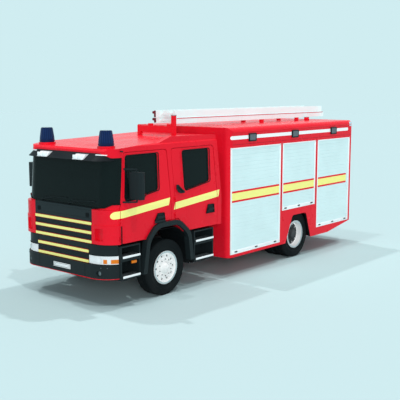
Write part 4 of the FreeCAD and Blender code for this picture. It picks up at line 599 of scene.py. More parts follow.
def spin_into(bm, profile, centre, axis="y", steps=64, closed=False):
    """A turned form about an axis through centre, from (radius, distance along it) points."""
    centre = Vector(centre)
    out, along = {"y": (Vector((1, 0, 0)), Vector((0, 1, 0))),
                  "x": (Vector((0, 1, 0)), Vector((1, 0, 0))),
                  "z": (Vector((1, 0, 0)), Vector((0, 0, 1)))}[axis]
    fresh = bmesh.new()
    verts = [fresh.verts.new(centre + out * radius + along * away) for radius, away in profile]
    edges = [fresh.edges.new(pair) for pair in zip(verts, verts[1:])]
    if closed:
        edges.append(fresh.edges.new((verts[-1], verts[0])))
    bmesh.ops.spin(fresh, geom=verts + edges, cent=centre, axis=along, dvec=(0, 0, 0),
                   angle=2 * math.pi, steps=steps, use_merge=True, use_duplicate=False)
    bmesh.ops.remove_doubles(fresh, verts=fresh.verts, dist=MERGE)
    bmesh.ops.recalc_face_normals(fresh, faces=fresh.faces)
    join_into(bm, fresh)


def join_into(bm, fresh):
    """Adds one bmesh to another and frees it."""
    mesh = bpy.data.meshes.new("part")
    fresh.to_mesh(mesh)
    fresh.free()
    bm.from_mesh(mesh)
    bpy.data.meshes.remove(mesh)


def outline_face(bm, points, corner=0.0):
    """A flat face through some points, its corners rounded."""
    bm.faces.new([bm.verts.new(point) for point in points])
    if corner:
        round_off(bm, list(bm.verts), corner, 5, "VERTICES")
    return bm.faces[:][0]


def push(bm, faces, depth):
    grown = bmesh.ops.extrude_face_region(bm, geom=faces)["geom"]
    verts = [item for item in grown if isinstance(item, bmesh.types.BMVert)]
    bmesh.ops.translate(bm, vec=depth, verts=verts)


def plate_into(bm, points, depth, corner=0.0, bevel=0.0):
    """A flat outline pushed along a vector into a solid, its edges rounded."""
    fresh = bmesh.new()
    push(fresh, [outline_face(fresh, points, corner)], depth)
    if bevel:
        soften(fresh, fresh.verts, bevel, 1)
    join_into(bm, fresh)


def ring_into(bm, points, width, depth, corner=0.0, bevel=0.0):
    """A flat frame of even width just inside an outline, pushed along a vector."""
    fresh = bmesh.new()
    middle = outline_face(fresh, points, corner)
    made = bmesh.ops.inset_individual(fresh, faces=[middle], thickness=width,
                                      use_even_offset=True)["faces"]
    bmesh.ops.delete(fresh, geom=[middle], context="FACES_ONLY")
    push(fresh, made, depth)
    if bevel:
        soften(fresh, fresh.verts, bevel, 1)
    join_into(bm, fresh)


def arc_into(bm, centre, inner, outer, start, end, low, high, steps=14):
    """A curved bar about an upright axis, between two angles in degrees from +X."""
    fresh = bmesh.new()
    first = math.radians(start)
    flat = Vector((math.cos(first), math.sin(first), 0))
    base = Vector((centre[0], centre[1], 0))
    corners = [(inner, low), (outer, low), (outer, high), (inner, high)]
    verts = [fresh.verts.new(base + flat * radius + Vector((0, 0, z))) for radius, z in corners]
    edges = [fresh.edges.new(pair) for pair in zip(verts, verts[1:] + verts[:1])]
    bmesh.ops.spin(fresh, geom=verts + edges, cent=base, axis=(0, 0, 1), dvec=(0, 0, 0),
                   angle=math.radians(end - start), steps=steps, use_merge=False,
                   use_duplicate=False)
    bmesh.ops.holes_fill(fresh, edges=[e for e in fresh.edges if e.is_boundary], sides=4)
    join_into(bm, fresh)


def finish_piece(name, bm, material, body="vehicle", sharp=35.0):
    """Closes a bmesh into a piece that rides on a body, which is the vehicle unless named."""
    bmesh.ops.remove_doubles(bm, verts=bm.verts, dist=MERGE)
    bmesh.ops.recalc_face_normals(bm, faces=bm.faces)
    for face in bm.faces:
        face.smooth = True
    for edge in bm.edges:
        if len(edge.link_faces) == 2 and edge.calc_face_angle() > math.radians(sharp):
            edge.smooth = False
    mesh = bpy.data.meshes.new(name)
    bm.to_mesh(mesh)
    bm.free()
    piece = bpy.data.objects.new(name, mesh)
    bpy.context.scene.collection.objects.link(piece)
    mesh.materials.append(material)
    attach(piece, body)
    return piece


def black_piece(name, bm, body="vehicle"):
    finish_piece(name, bm, trim_black(), body)


def paint_node(name, material):
    mesh = NODES[name].data
    mesh.materials.clear()
    mesh.materials.append(material)


def side_box(bm, side, low, high, bevel=0.0):
    """A block given for the left side, mirrored for the right."""
    ends = (side * low[1], side * high[1])
    box_into(bm, (low[0], min(ends), low[2]), (high[0], max(ends), high[2]), bevel)


def on_cab(points, side, out=0.0):
    """Points (x, z) of the left side laid on the cab's skin."""
    return [Vector((x, side * cab_side(z, out), z)) for x, z in points]


def widened(points, amount):
    """An outline grown about its middle by about amount."""
    middle = [sum(point[axis] for point in points) / len(points) for axis in (0, 1)]
    return [tuple(value + math.copysign(amount, value - centre)
                  for value, centre in zip(point, middle)) for point in points]


# Operators

class Finishes(bpy.types.Operator):
    """Gives every solid of the model its own finish"""
    bl_idname = "fire_engine.finishes"
    bl_label = "Finishes"

    def execute(self, context):
        paint = settings("fire_paint")
        shutter = surface("shutter_white", paint.shutter_white, 0.34, 0.05, 70.0, 0.08,
                          patches=shutter_patches())
        chosen = {
            coach_red("cab"): ["cab_shell", "door_front_left", "door_front_right",
                               "door_rear_left", "door_rear_right", "corner_panels"],
            coach_red(): ["body_shell", "ladder_gantry"],
            shutter: ["shutters_left", "shutters_right", "shutter_rear"],
            trim_black(): ["bumper", "arch_flares", "step_boxes", "mirror_left", "mirror_right"],
            surface("visor_black", (0.002, 0.004, 0.006), 0.45, 0.06, 500.0, 0.2,
                    specular=0.07): ["sun_visor"],
            panel_grey(): ["grille_panel"],
            surface("slat_yellow", paint.band_yellow, 0.34, 0.05, 90.0, 0.1, coat=0.3):
                ["grille_slats"],
            dark_glass(): ["windscreen", "glass_front_left", "glass_front_right",
                           "glass_rear_left", "glass_rear_right"],
            clear_lens(): ["front_lamps"],
            lens("beacon_blue", paint.beacon_blue, flutes=(150.0, 0.0)): ["beacons"],
            lens("lamp_grey", (0.12, 0.15, 0.17), 0.25, flutes=(700.0, 700.0)): ["side_lamps"],
            lens("lamp_red", (0.42, 0.008, 0.008), flutes=(800.0, 800.0)): ["rear_lamps"],
            tread_dark(): ["step_treads"],
            tread_plate(): ["rear_step"],
            chassis_black(): ["chassis_frame", "leaf_springs"],
            cast_grey(): ["knuckle_left", "knuckle_right", "track_rod", "front_axle",
                          "rear_axle", "engine_gearbox"],
            ladder_white(): ["ladder_lower", "ladder_upper"],
            wheel_silver(): ["rim_front_left", "rim_front_right", "rims_rear_left",
                             "rims_rear_right"],
            rubber(): ["tyre_front_left", "tyre_front_right", "tyres_rear_left",
                       "tyres_rear_right"],
            seat_cloth(): ["seats"],
            surface("dash_grain", (0.03, 0.034, 0.036), 0.6, 0.05, 700.0, 0.5): ["dashboard"],
            surface("tank_grey", (0.4, 0.42, 0.43), 0.5, 0.1, 50.0, 0.2): ["water_tank"],
        }
        for material, names in chosen.items():
            for name in names:
                paint_node(name, material)
        return {"FINISHED"}


class Tyres(bpy.types.Operator):
    """Tyres with a shouldered tread, grooves and rounded side walls"""
    bl_idname = "fire_engine.tyres"
    bl_label = "Tyres"

    # Where the grooves run, as shares of half the tyre's width
    GROOVES = ((0.16, 0.24), (0.48, 0.56))

    def tyre(self, bm, centre):
        wheel = settings("fire_wheel")
        half = (TYRE_HIGH.y - TYRE_LOW.y) / 2
        bead = (RIM_HIGH.z - RIM_LOW.z) / 2 - 0.016
        rise = TYRE_RADIUS - bead
        crown = TYRE_RADIUS - wheel.tread_depth * 0.2
        rib = 0.004
        wall = [(bead, 0.80), (bead + 0.012, 0.90), (bead + 0.10 * rise, 0.945),
                (bead + 0.12 * rise, 0.962), (bead + 0.20 * rise, 0.970),
                (bead + 0.22 * rise, 0.958), (bead + 0.45 * rise, 0.985),
                (bead + 0.45 * rise + rib, 1.0), (bead + 0.45 * rise + 2 * rib, 1.0),
                (bead + 0.45 * rise + 3 * rib, 0.985), (bead + 0.66 * rise, 0.982),
                (bead + 0.68 * rise, 0.972), (bead + 0.78 * rise, 0.955), (crown - 0.03, 0.90),
                (crown - 0.008, 0.84), (crown, 0.80)]
        tread = [(crown + 0.001, away)
                 for pair in reversed(self.GROOVES) for away in reversed(pair)]
        outer = [(r, share * half) for r, share in wall + tread]
        profile = outer + [(r, -away) for r, away in reversed(outer)]
        fresh = bmesh.new()
        spin_into(fresh, profile, centre, steps=wheel.lugs)
        grooves, blocks = [], []
        for face in fresh.faces:
            middle = face.calc_center_median() - Vector(centre)
            radius = math.hypot(middle.x, middle.z)
            if radius < crown - 0.022:
                continue
            share = abs(middle.y) / half
            cut = any(near < share < far for near, far in self.GROOVES)
            (grooves if cut else blocks).append(face)
        bmesh.ops.inset_region(fresh, faces=grooves, thickness=0.0015,
                               depth=-wheel.tread_depth, use_even_offset=True)
        bmesh.ops.inset_individual(fresh, faces=[f for f in blocks if f.is_valid],
                                   thickness=0.0022, depth=wheel.tread_depth * 0.22,
                                   use_even_offset=True)
        join_into(bm, fresh)

    def execute(self, context):
        twin = (TWIN_HIGH.y - TWIN_LOW.y) - (TYRE_HIGH.y - TYRE_LOW.y)
        front_y = (TYRE_HIGH.y + TYRE_LOW.y) / 2
        outer_y = TWIN_HIGH.y - (TYRE_HIGH.y - TYRE_LOW.y) / 2
        for side, word in SIDES:
            bm = bmesh.new()
            self.tyre(bm, (AXLE.x, side * front_y, AXLE.z))
            piece = finish_piece(f"front_tyre_{word}", bm, rubber(),
                                 f"wheel_front_{word}")
            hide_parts(f"tyre_front_{word}")
            bm = bmesh.new()
            for y in (outer_y, outer_y - twin):
                self.tyre(bm, (REAR_AXLE_X, side * y, AXLE.z))
            piece = finish_piece(f"rear_tyres_{word}", bm, rubber(),
                                 f"wheels_rear_{word}")
            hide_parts(f"tyres_rear_{word}")
        return {"FINISHED"}


class WheelTrim(bpy.types.Operator):
    """Wheel nuts, hub caps, painted shade in the rear wheels' dishes, rim edges and valve stems"""
    bl_idname = "fire_engine.wheel_trim"
    bl_label = "Wheel trim"

    def nuts(self, bm, shaded_tips, centre, face, side):
        wheel = settings("fire_wheel")
        away = Vector((0, side, 0))
        for cos, sin in turns(wheel.nuts, 0.5):
            spot = Vector((centre.x + wheel.nut_circle * cos, side * face,
                           centre.z + wheel.nut_circle * sin))
            rod_into(bm, spot - away * 0.004, spot + away * 0.003, wheel.nut_size * 1.35, 18)
            rod_into(bm, spot, spot + away * 0.018, wheel.nut_size, 6, 0.002)
            # The stud tips are dark, partly the studs' own metal and partly painted shade of the
            # nuts
            rod_into(shaded_tips, spot + away * 0.016, spot + away * 0.030, wheel.nut_size * 0.55, 12,
                     0.001)

    def shade_dish(self, bm, centre, face, side):
        """Painted shade in the deep rear dish: a dark ring over the rear disc, open at its vents,
        and a dark sleeve on the hub.
        """
        inner, outer, count, circle, vent = 0.113, 0.232, 10, 0.212, 0.0212
        middle = Vector((centre.x, side * (face - 0.001), centre.z))
        rim_steps, vent_steps = 6, 8
        fresh = bmesh.new()
        for cos, sin in turns(count):
            for way in (-1, 1):
                spread = [way * math.pi / count * k / rim_steps for k in range(rim_steps + 1)]
                half = [math.pi * k / vent_steps for k in range(vent_steps)]
                points = [(inner * math.cos(a), inner * math.sin(a)) for a in reversed(spread)]
                points += [(circle - vent * math.cos(a), way * vent * math.sin(a)) for a in half]
                points += [(outer * math.cos(a), outer * math.sin(a)) for a in spread]
                turned = [(x * cos - z * sin, 0, x * sin + z * cos) for x, z in points]
                fresh.faces.new([fresh.verts.new(middle + Vector(point)) for point in turned])
        bmesh.ops.remove_doubles(fresh, verts=fresh.verts, dist=MERGE)
        push(fresh, list(fresh.faces), Vector((0, side * 0.004, 0)))
        join_into(bm, fresh)
        cone = [(0.108, 0.001), (0.114, 0.001), (0.0915, 0.085), (0.0855, 0.085)]
        spin_into(bm, [(r, side * away) for r, away in cone], (centre.x, side * face, centre.z),
                  steps=48, closed=True)

    def hub_cap(self, bm, centre, face, radius, side, bolts):
        """A domed cap on the hub's end with a ring of small bolts round it."""
        dome = [(0, 0.016), (radius * 0.35, 0.015), (radius * 0.62, 0.010), (radius * 0.70, 0.004),
                (radius * 0.95, 0.003), (radius, 0), (radius, -0.006)]
        spin_into(bm, [(r, side * away) for r, away in dome], (centre.x, side * face, centre.z),
                  steps=40)
        away = Vector((0, side, 0))
        circle = radius * 0.83
        for cos, sin in turns(bolts):
            spot = Vector((centre.x + circle * cos, side * face, centre.z + circle * sin))
            rod_into(bm, spot, spot + away * 0.011, 0.0075, 6, 0.001)

    def execute(self, context):
        wheel = settings("fire_wheel")
        bead = (RIM_HIGH.z - RIM_LOW.z) / 2
        fits = ((False, AXLE.x, RIM_HIGH.y - 0.060, RIM_HIGH.y, 0.060, RIM_HIGH.y - 0.027),
                (True, REAR_AXLE_X, REAR_RIM_HIGH.y - 0.117, REAR_RIM_HIGH.y - 0.033, 0.095,
                 REAR_RIM_HIGH.y))
        for side, word in SIDES:
            for rear, x, disc, hub, cap, lip in fits:
                centre = Vector((x, 0, AXLE.z))
                body = f"wheels_rear_{word}" if rear else f"wheel_front_{word}"
                kind = "rear" if rear else "front"
                bm, shaded_tips = meshes(2)
                self.nuts(bm, shaded_tips, centre, disc, side)
                # The rear nuts and hub cap are dark grey as painted shade of the deep dish; the
                # front ones are silver
                paint = cast_grey() if rear else wheel_silver()
                finish_piece(f"{kind}_nuts_{word}", bm, paint, body)
                finish_piece(f"{kind}_studs_{word}", shaded_tips, dull_metal(), body)
                bm = bmesh.new()
                self.hub_cap(bm, centre, hub, cap, side, 8 if rear else 6)
                finish_piece(f"{kind}_hub_cap_{word}", bm, paint, body)
                if rear:
                    # Painted shade: a black ring and sleeve inside the deep rear dish
                    bm = bmesh.new()
                    self.shade_dish(bm, centre, disc, side)
                    finish_piece(f"rear_dish_{word}", bm, chassis_black(), body)
                bm = bmesh.new()
                edge = [(bead - 0.030, 0), (bead - 0.012, 0.002), (bead - 0.004, 0.003),
                        (bead - 0.003, -0.004), (bead - 0.030, -0.006)]
                spin_into(bm, [(r, side * away) for r, away in edge], (x, side * lip, AXLE.z),
                          steps=72, closed=True)
                stem = Vector((x, side * (disc + 0.01), AXLE.z - wheel.nut_circle - 0.030))
                rod_into(bm, stem, stem + Vector((0, side * 0.030, 0)), 0.005, 10)
                finish_piece(f"{kind}_rim_edge_{word}", bm, bright_metal(), body)
        return {"FINISHED"}


class Glazing(bpy.types.Operator):
    """Window seals, the windscreen's seal and its wipers"""
    bl_idname = "fire_engine.glazing"
    bl_label = "Glazing"

    def wiper(self, bm, y):
        """An arm from its spindle to the middle of a blade that lies along the screen's foot."""
        sizes = settings("fire_trim")
        low, high = BELT_Z + 0.042, BELT_Z + 0.108
        spindle = Vector((screen_x(low, 0.008), y, low))
        rod_into(bm, spindle - Vector((0.02, 0, 0)), spindle + Vector((0.012, 0, 0)), 0.016, 18,
                 0.003)
        reach = sizes.blade_length / 2
        middle = Vector((screen_x(high, 0.014), y + reach * 1.15, high))
        rod_into(bm, spindle, middle, 0.008, 10, end_radius=0.005)
        ends = [middle + Vector((-0.006, along, lift))
                for along, lift in ((-reach, -0.012), (reach, 0.014))]
        rod_into(bm, ends[0], ends[1], 0.006, 8)
        rod_into(bm, ends[0] + Vector((0.006, 0, 0.003)), ends[1] + Vector((0.006, 0, 0.003)),
                 0.004, 8)

    def execute(self, context):
        sizes = settings("fire_trim")
        for side, word in SIDES:
            depth = Vector((0, side * sizes.seal_proud * 2, 0))
            for place, outline in (("front", FRONT_WINDOW), ("rear", REAR_WINDOW)):
                bm = bmesh.new()
                points = on_cab(widened(outline, sizes.seal_width * 0.4), side, -sizes.seal_proud)
                ring_into(bm, points, sizes.seal_width, depth, corner=0.045, bevel=0.001)
                finish_piece(f"window_seals_{place}_{word}", bm, rubber(),
                             f"{place}_{word}_door")
        bm = bmesh.new()
        foot = BELT_Z + 0.014
        edge = [(3.654, 1.157, 1.750), (3.766, 1.071, 1.750), (3.832, 0.960, 1.694)]
        route = [*edge, (SCREEN_X + 0.002, 0.80, foot), (SCREEN_X + 0.002, -0.80, foot),
                 *((x, -y, z) for x, y, z in reversed(edge))]
        pipe_into(bm, [Vector(point) for point in route], 0.010, 10)
        finish_piece("screen_seal", bm, rubber())
        bm = bmesh.new()
        for y in (0.10, -0.62):
            self.wiper(bm, y)
        black_piece("wipers", bm)
        return {"FINISHED"}


class FrontTrim(bpy.types.Operator):
    """Louvres, slat edges, vents, plate, fog lamp bezels, headlamp insides and marker bezels"""
    bl_idname = "fire_engine.front_trim"
    bl_label = "Front trim"

    # The round corners of the bumper and of the lamps set back in it, as (x, y) of their middles
    CORNER_RADIUS = 0.45
    CORNER_Y = 0.74
    LAMP_SET = 0.04
    CORNER = (BUMPER_HIGH.x - CORNER_RADIUS, CORNER_Y)
    LAMP_CORNER = (BUMPER_HIGH.x - LAMP_SET - CORNER_RADIUS, CORNER_Y)

    def louvres(self):
        """Black bars between the slats, and the slats' dark red edges."""
        sizes, paint = settings("fire_trim"), settings("fire_paint")
        bars, edges = meshes(2)
        upright = sorted(SLATS, key=lambda box: -box[0].z)
        for above, below in zip(upright, upright[1:]):
            face, half = min(above[0].x, below[0].x), min(above[1].y, below[1].y)
            gap = above[0].z - below[1].z
            for share in (0.30, 0.52, 0.74):
                z = below[1].z + gap * share
                points = [(face - 0.002, -half, z), (face + 0.007, -half, z - 0.004),
                          (face + 0.007, -half, z - sizes.louvre_height * 0.6),
                          (face - 0.002, -half, z - sizes.louvre_height)]
                plate_into(bars, points, (0, 2 * half, 0), bevel=0.001)
        for low, high in SLATS:
            for z in (low.z, high.z):
                box_into(edges, (low.x - 0.001, low.y, z - 0.009),
                         (high.x - 0.002, high.y, z + 0.009), 0.002)
        black_piece("grille_louvres", bars)
        finish_piece("slat_edges", edges, plain("edge_red", paint.edge_red, 0.4))

    def vents(self):
        """Two vents in the panel above the grille, and a rib over and under them."""
        vents, ribs = meshes(2)
        low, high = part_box("grille_panel")
        face, middle, wide, tall = high.x, 1.555, 0.085, 0.075
        for side, _ in SIDES:
            y = side * 0.635
            points = upright(face - 0.001, (y - wide / 2, y + wide / 2),
                             (middle - tall / 2, middle + tall / 2))
            ring_into(vents, points, 0.008, (0.005, 0, 0), corner=0.018, bevel=0.001)
            plate_into(vents, points, (0.0018, 0, 0), corner=0.018)
            for share in (0.3, 0.5, 0.7):
                z = middle - tall / 2 + tall * share
                box_into(vents, (face, y - wide * 0.42, z - 0.003),
                         (face + 0.004, y + wide * 0.42, z + 0.003), 0.001)
        vent_black = surface("vent_black", (0.004, 0.006, 0.007), 0.6, 0.05, 300.0, 0.2)
        finish_piece("panel_vents", vents, vent_black)
        for z in (1.505, 1.640):
            box_into(ribs, (face - 0.002, low.y + 0.02, z - 0.003),
                     (face + 0.003, high.y - 0.02, z + 0.003), 0.001)
        black_piece("panel_ribs", ribs)

    def plate(self):
        """A blank plate, its rim and two screws."""
        plate, rim = meshes(2)
        face = BUMPER_HIGH.x - 0.008
        box_into(plate, (face, -0.222, 0.574), (face + 0.006, 0.222, 0.656), 0.002)
        white = surface("plate_white", (0.86, 0.89, 0.90), 0.3, 0.05, 200.0, 0.1)
        finish_piece("plate_blank", plate, white)
        ring_into(rim, upright(face + 0.005, (-0.210, 0.210), (0.586, 0.644)), 0.005,
                  (0.002, 0, 0), corner=0.008)
        for y in (-0.17, 0.17):
            rod_into(rim, (face + 0.004, y, 0.615), (face + 0.009, y, 0.615), 0.006, 12, 0.001)
        black_piece("plate_rim", rim)

    def fog_lamps(self):
        rims, glasses = meshes(2)
        lamps = [box for box in solids_of("front_lamps") if box[1].z < 0.70]
        for low, high in lamps:
            y, z, radius = (low.y + high.y) / 2, (low.z + high.z) / 2, (high.y - low.y) / 2
            ring = [(radius * 0.80, 0.002), (radius * 0.86, 0.012), (radius * 0.97, 0.012),
                    (radius * 0.98, 0.002)]
            spin_into(rims, ring, (high.x, y, z), "x", 40, closed=True)
            glass = [(0, 0.010), (radius * 0.4, 0.009), (radius * 0.8, 0.003), (radius * 0.8, 0)]
            spin_into(glasses, glass, (high.x, y, z), "x", 40)
        finish_piece("fog_lamp_rims", rims, trim_black())
        finish_piece("fog_lamp_glasses", glasses,
                     lens("fog_grey", (0.13, 0.17, 0.18), 0.2, flutes=(900.0, 0.0)))

    def headlamps(self):
        """Reflector bowls behind the lens, the turn signals, and two studs below."""
        bowls, signals, studs, lips = meshes(4)
        low, high = 0.757, 0.883
        middle = (low + high) / 2
        cx, cy = self.LAMP_CORNER
        radius = self.CORNER_RADIUS
        for side, _ in SIDES:
            centre = (cx, side * cy)
            for y, x in ((0.755, radius - 0.003), (0.885, radius - 0.026)):
                bowl = [(0.010, -0.030), (0.034, -0.020), (0.052, 0.001), (0.056, 0.001),
                        (0.036, -0.024), (0.010, -0.034)]
                spin_into(bowls, bowl, (cx + x, side * y, middle), "x", 32, closed=True)
            for start, end in ((29, 37), (45, 61)):
                arc_into(signals, centre, radius + 0.001, radius + 0.0085, side * start,
                         side * end, low + 0.006, low + 0.075)
            for z in (0.7475, 0.8925):
                arc_into(lips, centre, radius, radius + 0.010, 0, side * 66, z - 0.0025,
                         z + 0.0025, 24)
                side_box(lips, side, (cx + radius, 0.682, z - 0.0025),
                         (cx + radius + 0.010, 0.742, z + 0.0025))
            for angle in (27, 41):
                turn = math.radians(angle)
                out = Vector((math.cos(turn), side * math.sin(turn), 0))
                spot = Vector((self.CORNER[0], side * self.CORNER[1], 0.695)) + out * radius
                rod_into(studs, spot - out * 0.004, spot + out * 0.006, 0.008, 16, 0.002)
        finish_piece("headlamp_bowls", bowls, bright_metal())
        finish_piece("turn_signals", signals, amber_lens())
        black_piece("headlamp_lips", lips)
        finish_piece("bumper_studs", studs, dull_metal())

    def bumper_line(self):
        """A thin red line round the bumper's lower edge, and the seams of its mouldings."""
        line, seams = meshes(2)
        cx, cy = self.CORNER
        front = BUMPER_HIGH.x
        lower = BUMPER_LOW.z
        box_into(line, (front - 0.003, -cy, lower - 0.002), (front + 0.002, cy, lower + 0.007),
                 0.001)
        for side, _ in SIDES:
            arc_into(line, (cx, side * cy), self.CORNER_RADIUS - 0.003, self.CORNER_RADIUS + 0.002,
                     0, side * 90, lower - 0.002, lower + 0.007, 24)
            side_box(seams, side, (front - 0.001, 0.60, lower + 0.01),
                     (front + 0.0015, 0.604, 0.735))
            side_box(seams, side, (front - 0.041, 0.668, 0.90), (front - 0.0385, 0.672, 1.07))
        finish_piece("bumper_red_line", line, trim_red())
        finish_piece("bumper_seams", seams, rubber())

    def markers(self):
        """Lenses in front of the marker lamps, with a split down the middle."""
        glass, rims = meshes(2)
        for low, high in (box for box in solids_of("front_lamps") if box[0].z > 2):
            y, half = (low.y + high.y) / 2, (high.y - low.y) / 2
            for offset in (-0.48, 0.48):
                middle = y + half * offset
                box_into(glass, (high.x - 0.030, middle - half * 0.40, low.z + 0.012),
                         (high.x + 0.004, middle + half * 0.40, high.z - 0.010), 0.006)
            box_into(rims, (low.x + 0.004, low.y - 0.006, low.z - 0.004),
                     (high.x - 0.018, high.y + 0.006, low.z + 0.006), 0.002)
        finish_piece("marker_lenses", glass, lens("marker_white", (0.86, 0.92, 0.94), 0.15,
                                                  flutes=(500.0, 500.0), glow=0.1))
        black_piece("marker_bezels", rims)

    def execute(self, context):
        self.louvres()
        self.vents()
        self.plate()
        self.fog_lamps()
        self.headlamps()
        self.bumper_line()
        self.markers()
        return {"FINISHED"}


class CabTrim(bpy.types.Operator):
    """Door handles, locks, grab loops, eave brackets, mirror glass and step detail"""
    bl_idname = "fire_engine.cab_trim"
    bl_label = "Cab trim"

    def handles(self):
        front = [(2.850, 1.412), (2.655, 1.412), (2.660, 1.452), (2.832, 1.452)]
        rear = [(1.468, 1.392), (1.290, 1.392), (1.295, 1.432), (1.452, 1.432)]
        front_pocket = [(2.894, 1.379), (2.640, 1.379), (2.659, 1.501), (2.815, 1.501)]
        rear_pocket = [(1.509, 1.339), (1.277, 1.339), (1.292, 1.501), (1.451, 1.501)]
        for side, word in SIDES:
            for place, outline, pocket in (("front", front, front_pocket),
                                           ("rear", rear, rear_pocket)):
                bm = bmesh.new()
                skin = CAB_SIDE
                points = [(x, side * (skin - 0.009), z) for x, z in outline]
                plate_into(bm, points, (0, side * 0.011, 0), corner=0.012, bevel=0.003)
                for x in (outline[0][0] - 0.022, outline[1][0] + 0.018):
                    side_box(bm, side, (x - 0.008, skin - 0.0225, outline[0][1] + 0.006),
                             (x + 0.008, skin - 0.008, outline[0][1] + 0.034), 0.002)
                back = [(x, side * (skin - 0.0215), z) for x, z in pocket]
                plate_into(bm, back, (0, side * 0.002, 0))
                ring_into(bm, back, 0.003, (0, side * 0.022, 0))
                if place == "front":
                    apron = [(2.914, 1.338), (2.636, 1.338), (2.638, 1.380), (2.897, 1.380)]
                    plate_into(bm, [(x, side * (skin - 0.0005), z) for x, z in apron],
                               (0, side * 0.002, 0), bevel=0.0005)
                middle = sum(x for x, _ in outline) / 4
                spot = Vector((middle, side * (skin - 0.0215), outline[0][1] + 0.075))
                rod_into(bm, spot, spot + Vector((0, side * 0.006, 0)), 0.011, 18, 0.001)
                black_piece(f"handle_{place}_{word}", bm, f"{place}_{word}_door")

    def loops(self):
        """A black loop ahead of the rear window, and a bracket under the eave."""
        brackets = bmesh.new()
        for side, word in SIDES:
            bm = bmesh.new()
            route = [(2.270, 1.925, -0.006), (2.268, 1.918, 0.026), (2.162, 1.822, 0.026),
                     (2.158, 1.816, -0.006)]
            pipe_into(bm, [Vector((x, side * cab_side(z, out), z)) for x, z, out in route], 0.011)
            foot = [(2.315, 1.952), (2.322, 1.880), (2.282, 1.815), (2.215, 1.790), (2.118, 1.792),
                    (2.112, 1.826), (2.190, 1.872), (2.262, 1.952)]
            plate_into(bm, on_cab(foot, side, -0.002), (0, side * 0.012, 0), corner=0.012,
                       bevel=0.003)
            black_piece(f"grab_loop_{word}", bm, f"rear_{word}_door")
            hook = [(3.598, 2.632), (3.598, 2.606), (3.545, 2.600), (3.545, 2.622)]
            plate_into(brackets, on_cab(hook, side, -0.012), (0, side * 0.026, 0), bevel=0.003)
        black_piece("eave_brackets", brackets)

    def edges(self):
        """The black joint ahead of each front door, and white strips on the brow that are a
        painted highlight.
        """
        joints, glints = meshes(2)
        for side, _ in SIDES:
            side_box(joints, side, (3.6865, CAB_SIDE - 0.006, 1.094),
                     (3.706, CAB_SIDE + 0.002, 1.395), 0.001)
            # Painted highlight: a white strip along the brow's lower edge near each corner
            strip = [(3.838, 0.770, 2.552), (3.800, 0.895, 2.550), (3.742, 0.968, 2.548),
                     (3.742, 0.968, 2.562), (3.795, 0.895, 2.565), (3.830, 0.770, 2.567)]
            plate_into(glints, [(x, side * y, z) for x, y, z in strip], (0.014, side * 0.008, 0))
        finish_piece("corner_joints", joints, rubber())
        finish_piece("brow_painted_highlights", glints, frame_white())

    def mirrors(self):
        for side, word in SIDES:
            low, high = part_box(f"mirror_{word}")
            outer = max(abs(low.y), abs(high.y))
            near, far = side * (outer - 0.118), side * (outer - 0.012)
            bm = bmesh.new()
            points = upright(3.445 - 0.043, (near, far), (1.850, 2.262))
            plate_into(bm, points, (-0.004, 0, 0), corner=0.02, bevel=0.001)
            finish_piece(f"mirror_pane_{word}", bm, mirror_glass(),
                         f"front_{word}_door")

    def steps(self):
        """Rows of studs on each tread, its bright edge, and the side marker under one."""
        sizes = settings("fire_trim")
        studs, edges, markers, brackets = meshes(4)
        for low, high in TREADS:
            side = 1 if high.y > 0 else -1
            inner, outer = sorted((abs(low.y), abs(high.y)))
            across = int((outer - inner - 0.03) / sizes.stud_pitch)
            along = int((high.x - low.x - 0.04) / sizes.stud_pitch)
            for i in range(along):
                for j in range(across):
                    spot = Vector((low.x + 0.03 + sizes.stud_pitch * (i + 0.5 * (j % 2)),
                                   side * (inner + 0.02 + sizes.stud_pitch * j), high.z))
                    stud_into(studs, spot, 0.009, 0.006)
            side_box(edges, side, (low.x + 0.001, outer - 0.006, low.z - 0.010),
                     (high.x - 0.001, outer + 0.004, high.z + 0.005), 0.004)
            if low.z > 0.7 and low.x > AXLE.x:
                side_box(markers, side, (high.x - 0.335, outer - 0.040, low.z - 0.125),
                         (high.x - 0.225, outer - 0.012, low.z - 0.080), 0.006)
                side_box(brackets, side, (high.x - 0.300, outer - 0.052, low.z - 0.118),
                         (high.x - 0.260, outer - 0.036, low.z + 0.002), 0.002)
        finish_piece("tread_studs", studs, tread_dark())
        finish_piece("tread_edges", edges, frame_white())
        finish_piece("side_markers", markers, amber_lens())
        black_piece("side_marker_brackets", brackets)

    def execute(self, context):
        self.handles()
        self.loops()
        self.edges()
        self.mirrors()
        self.steps()
        return {"FINISHED"}


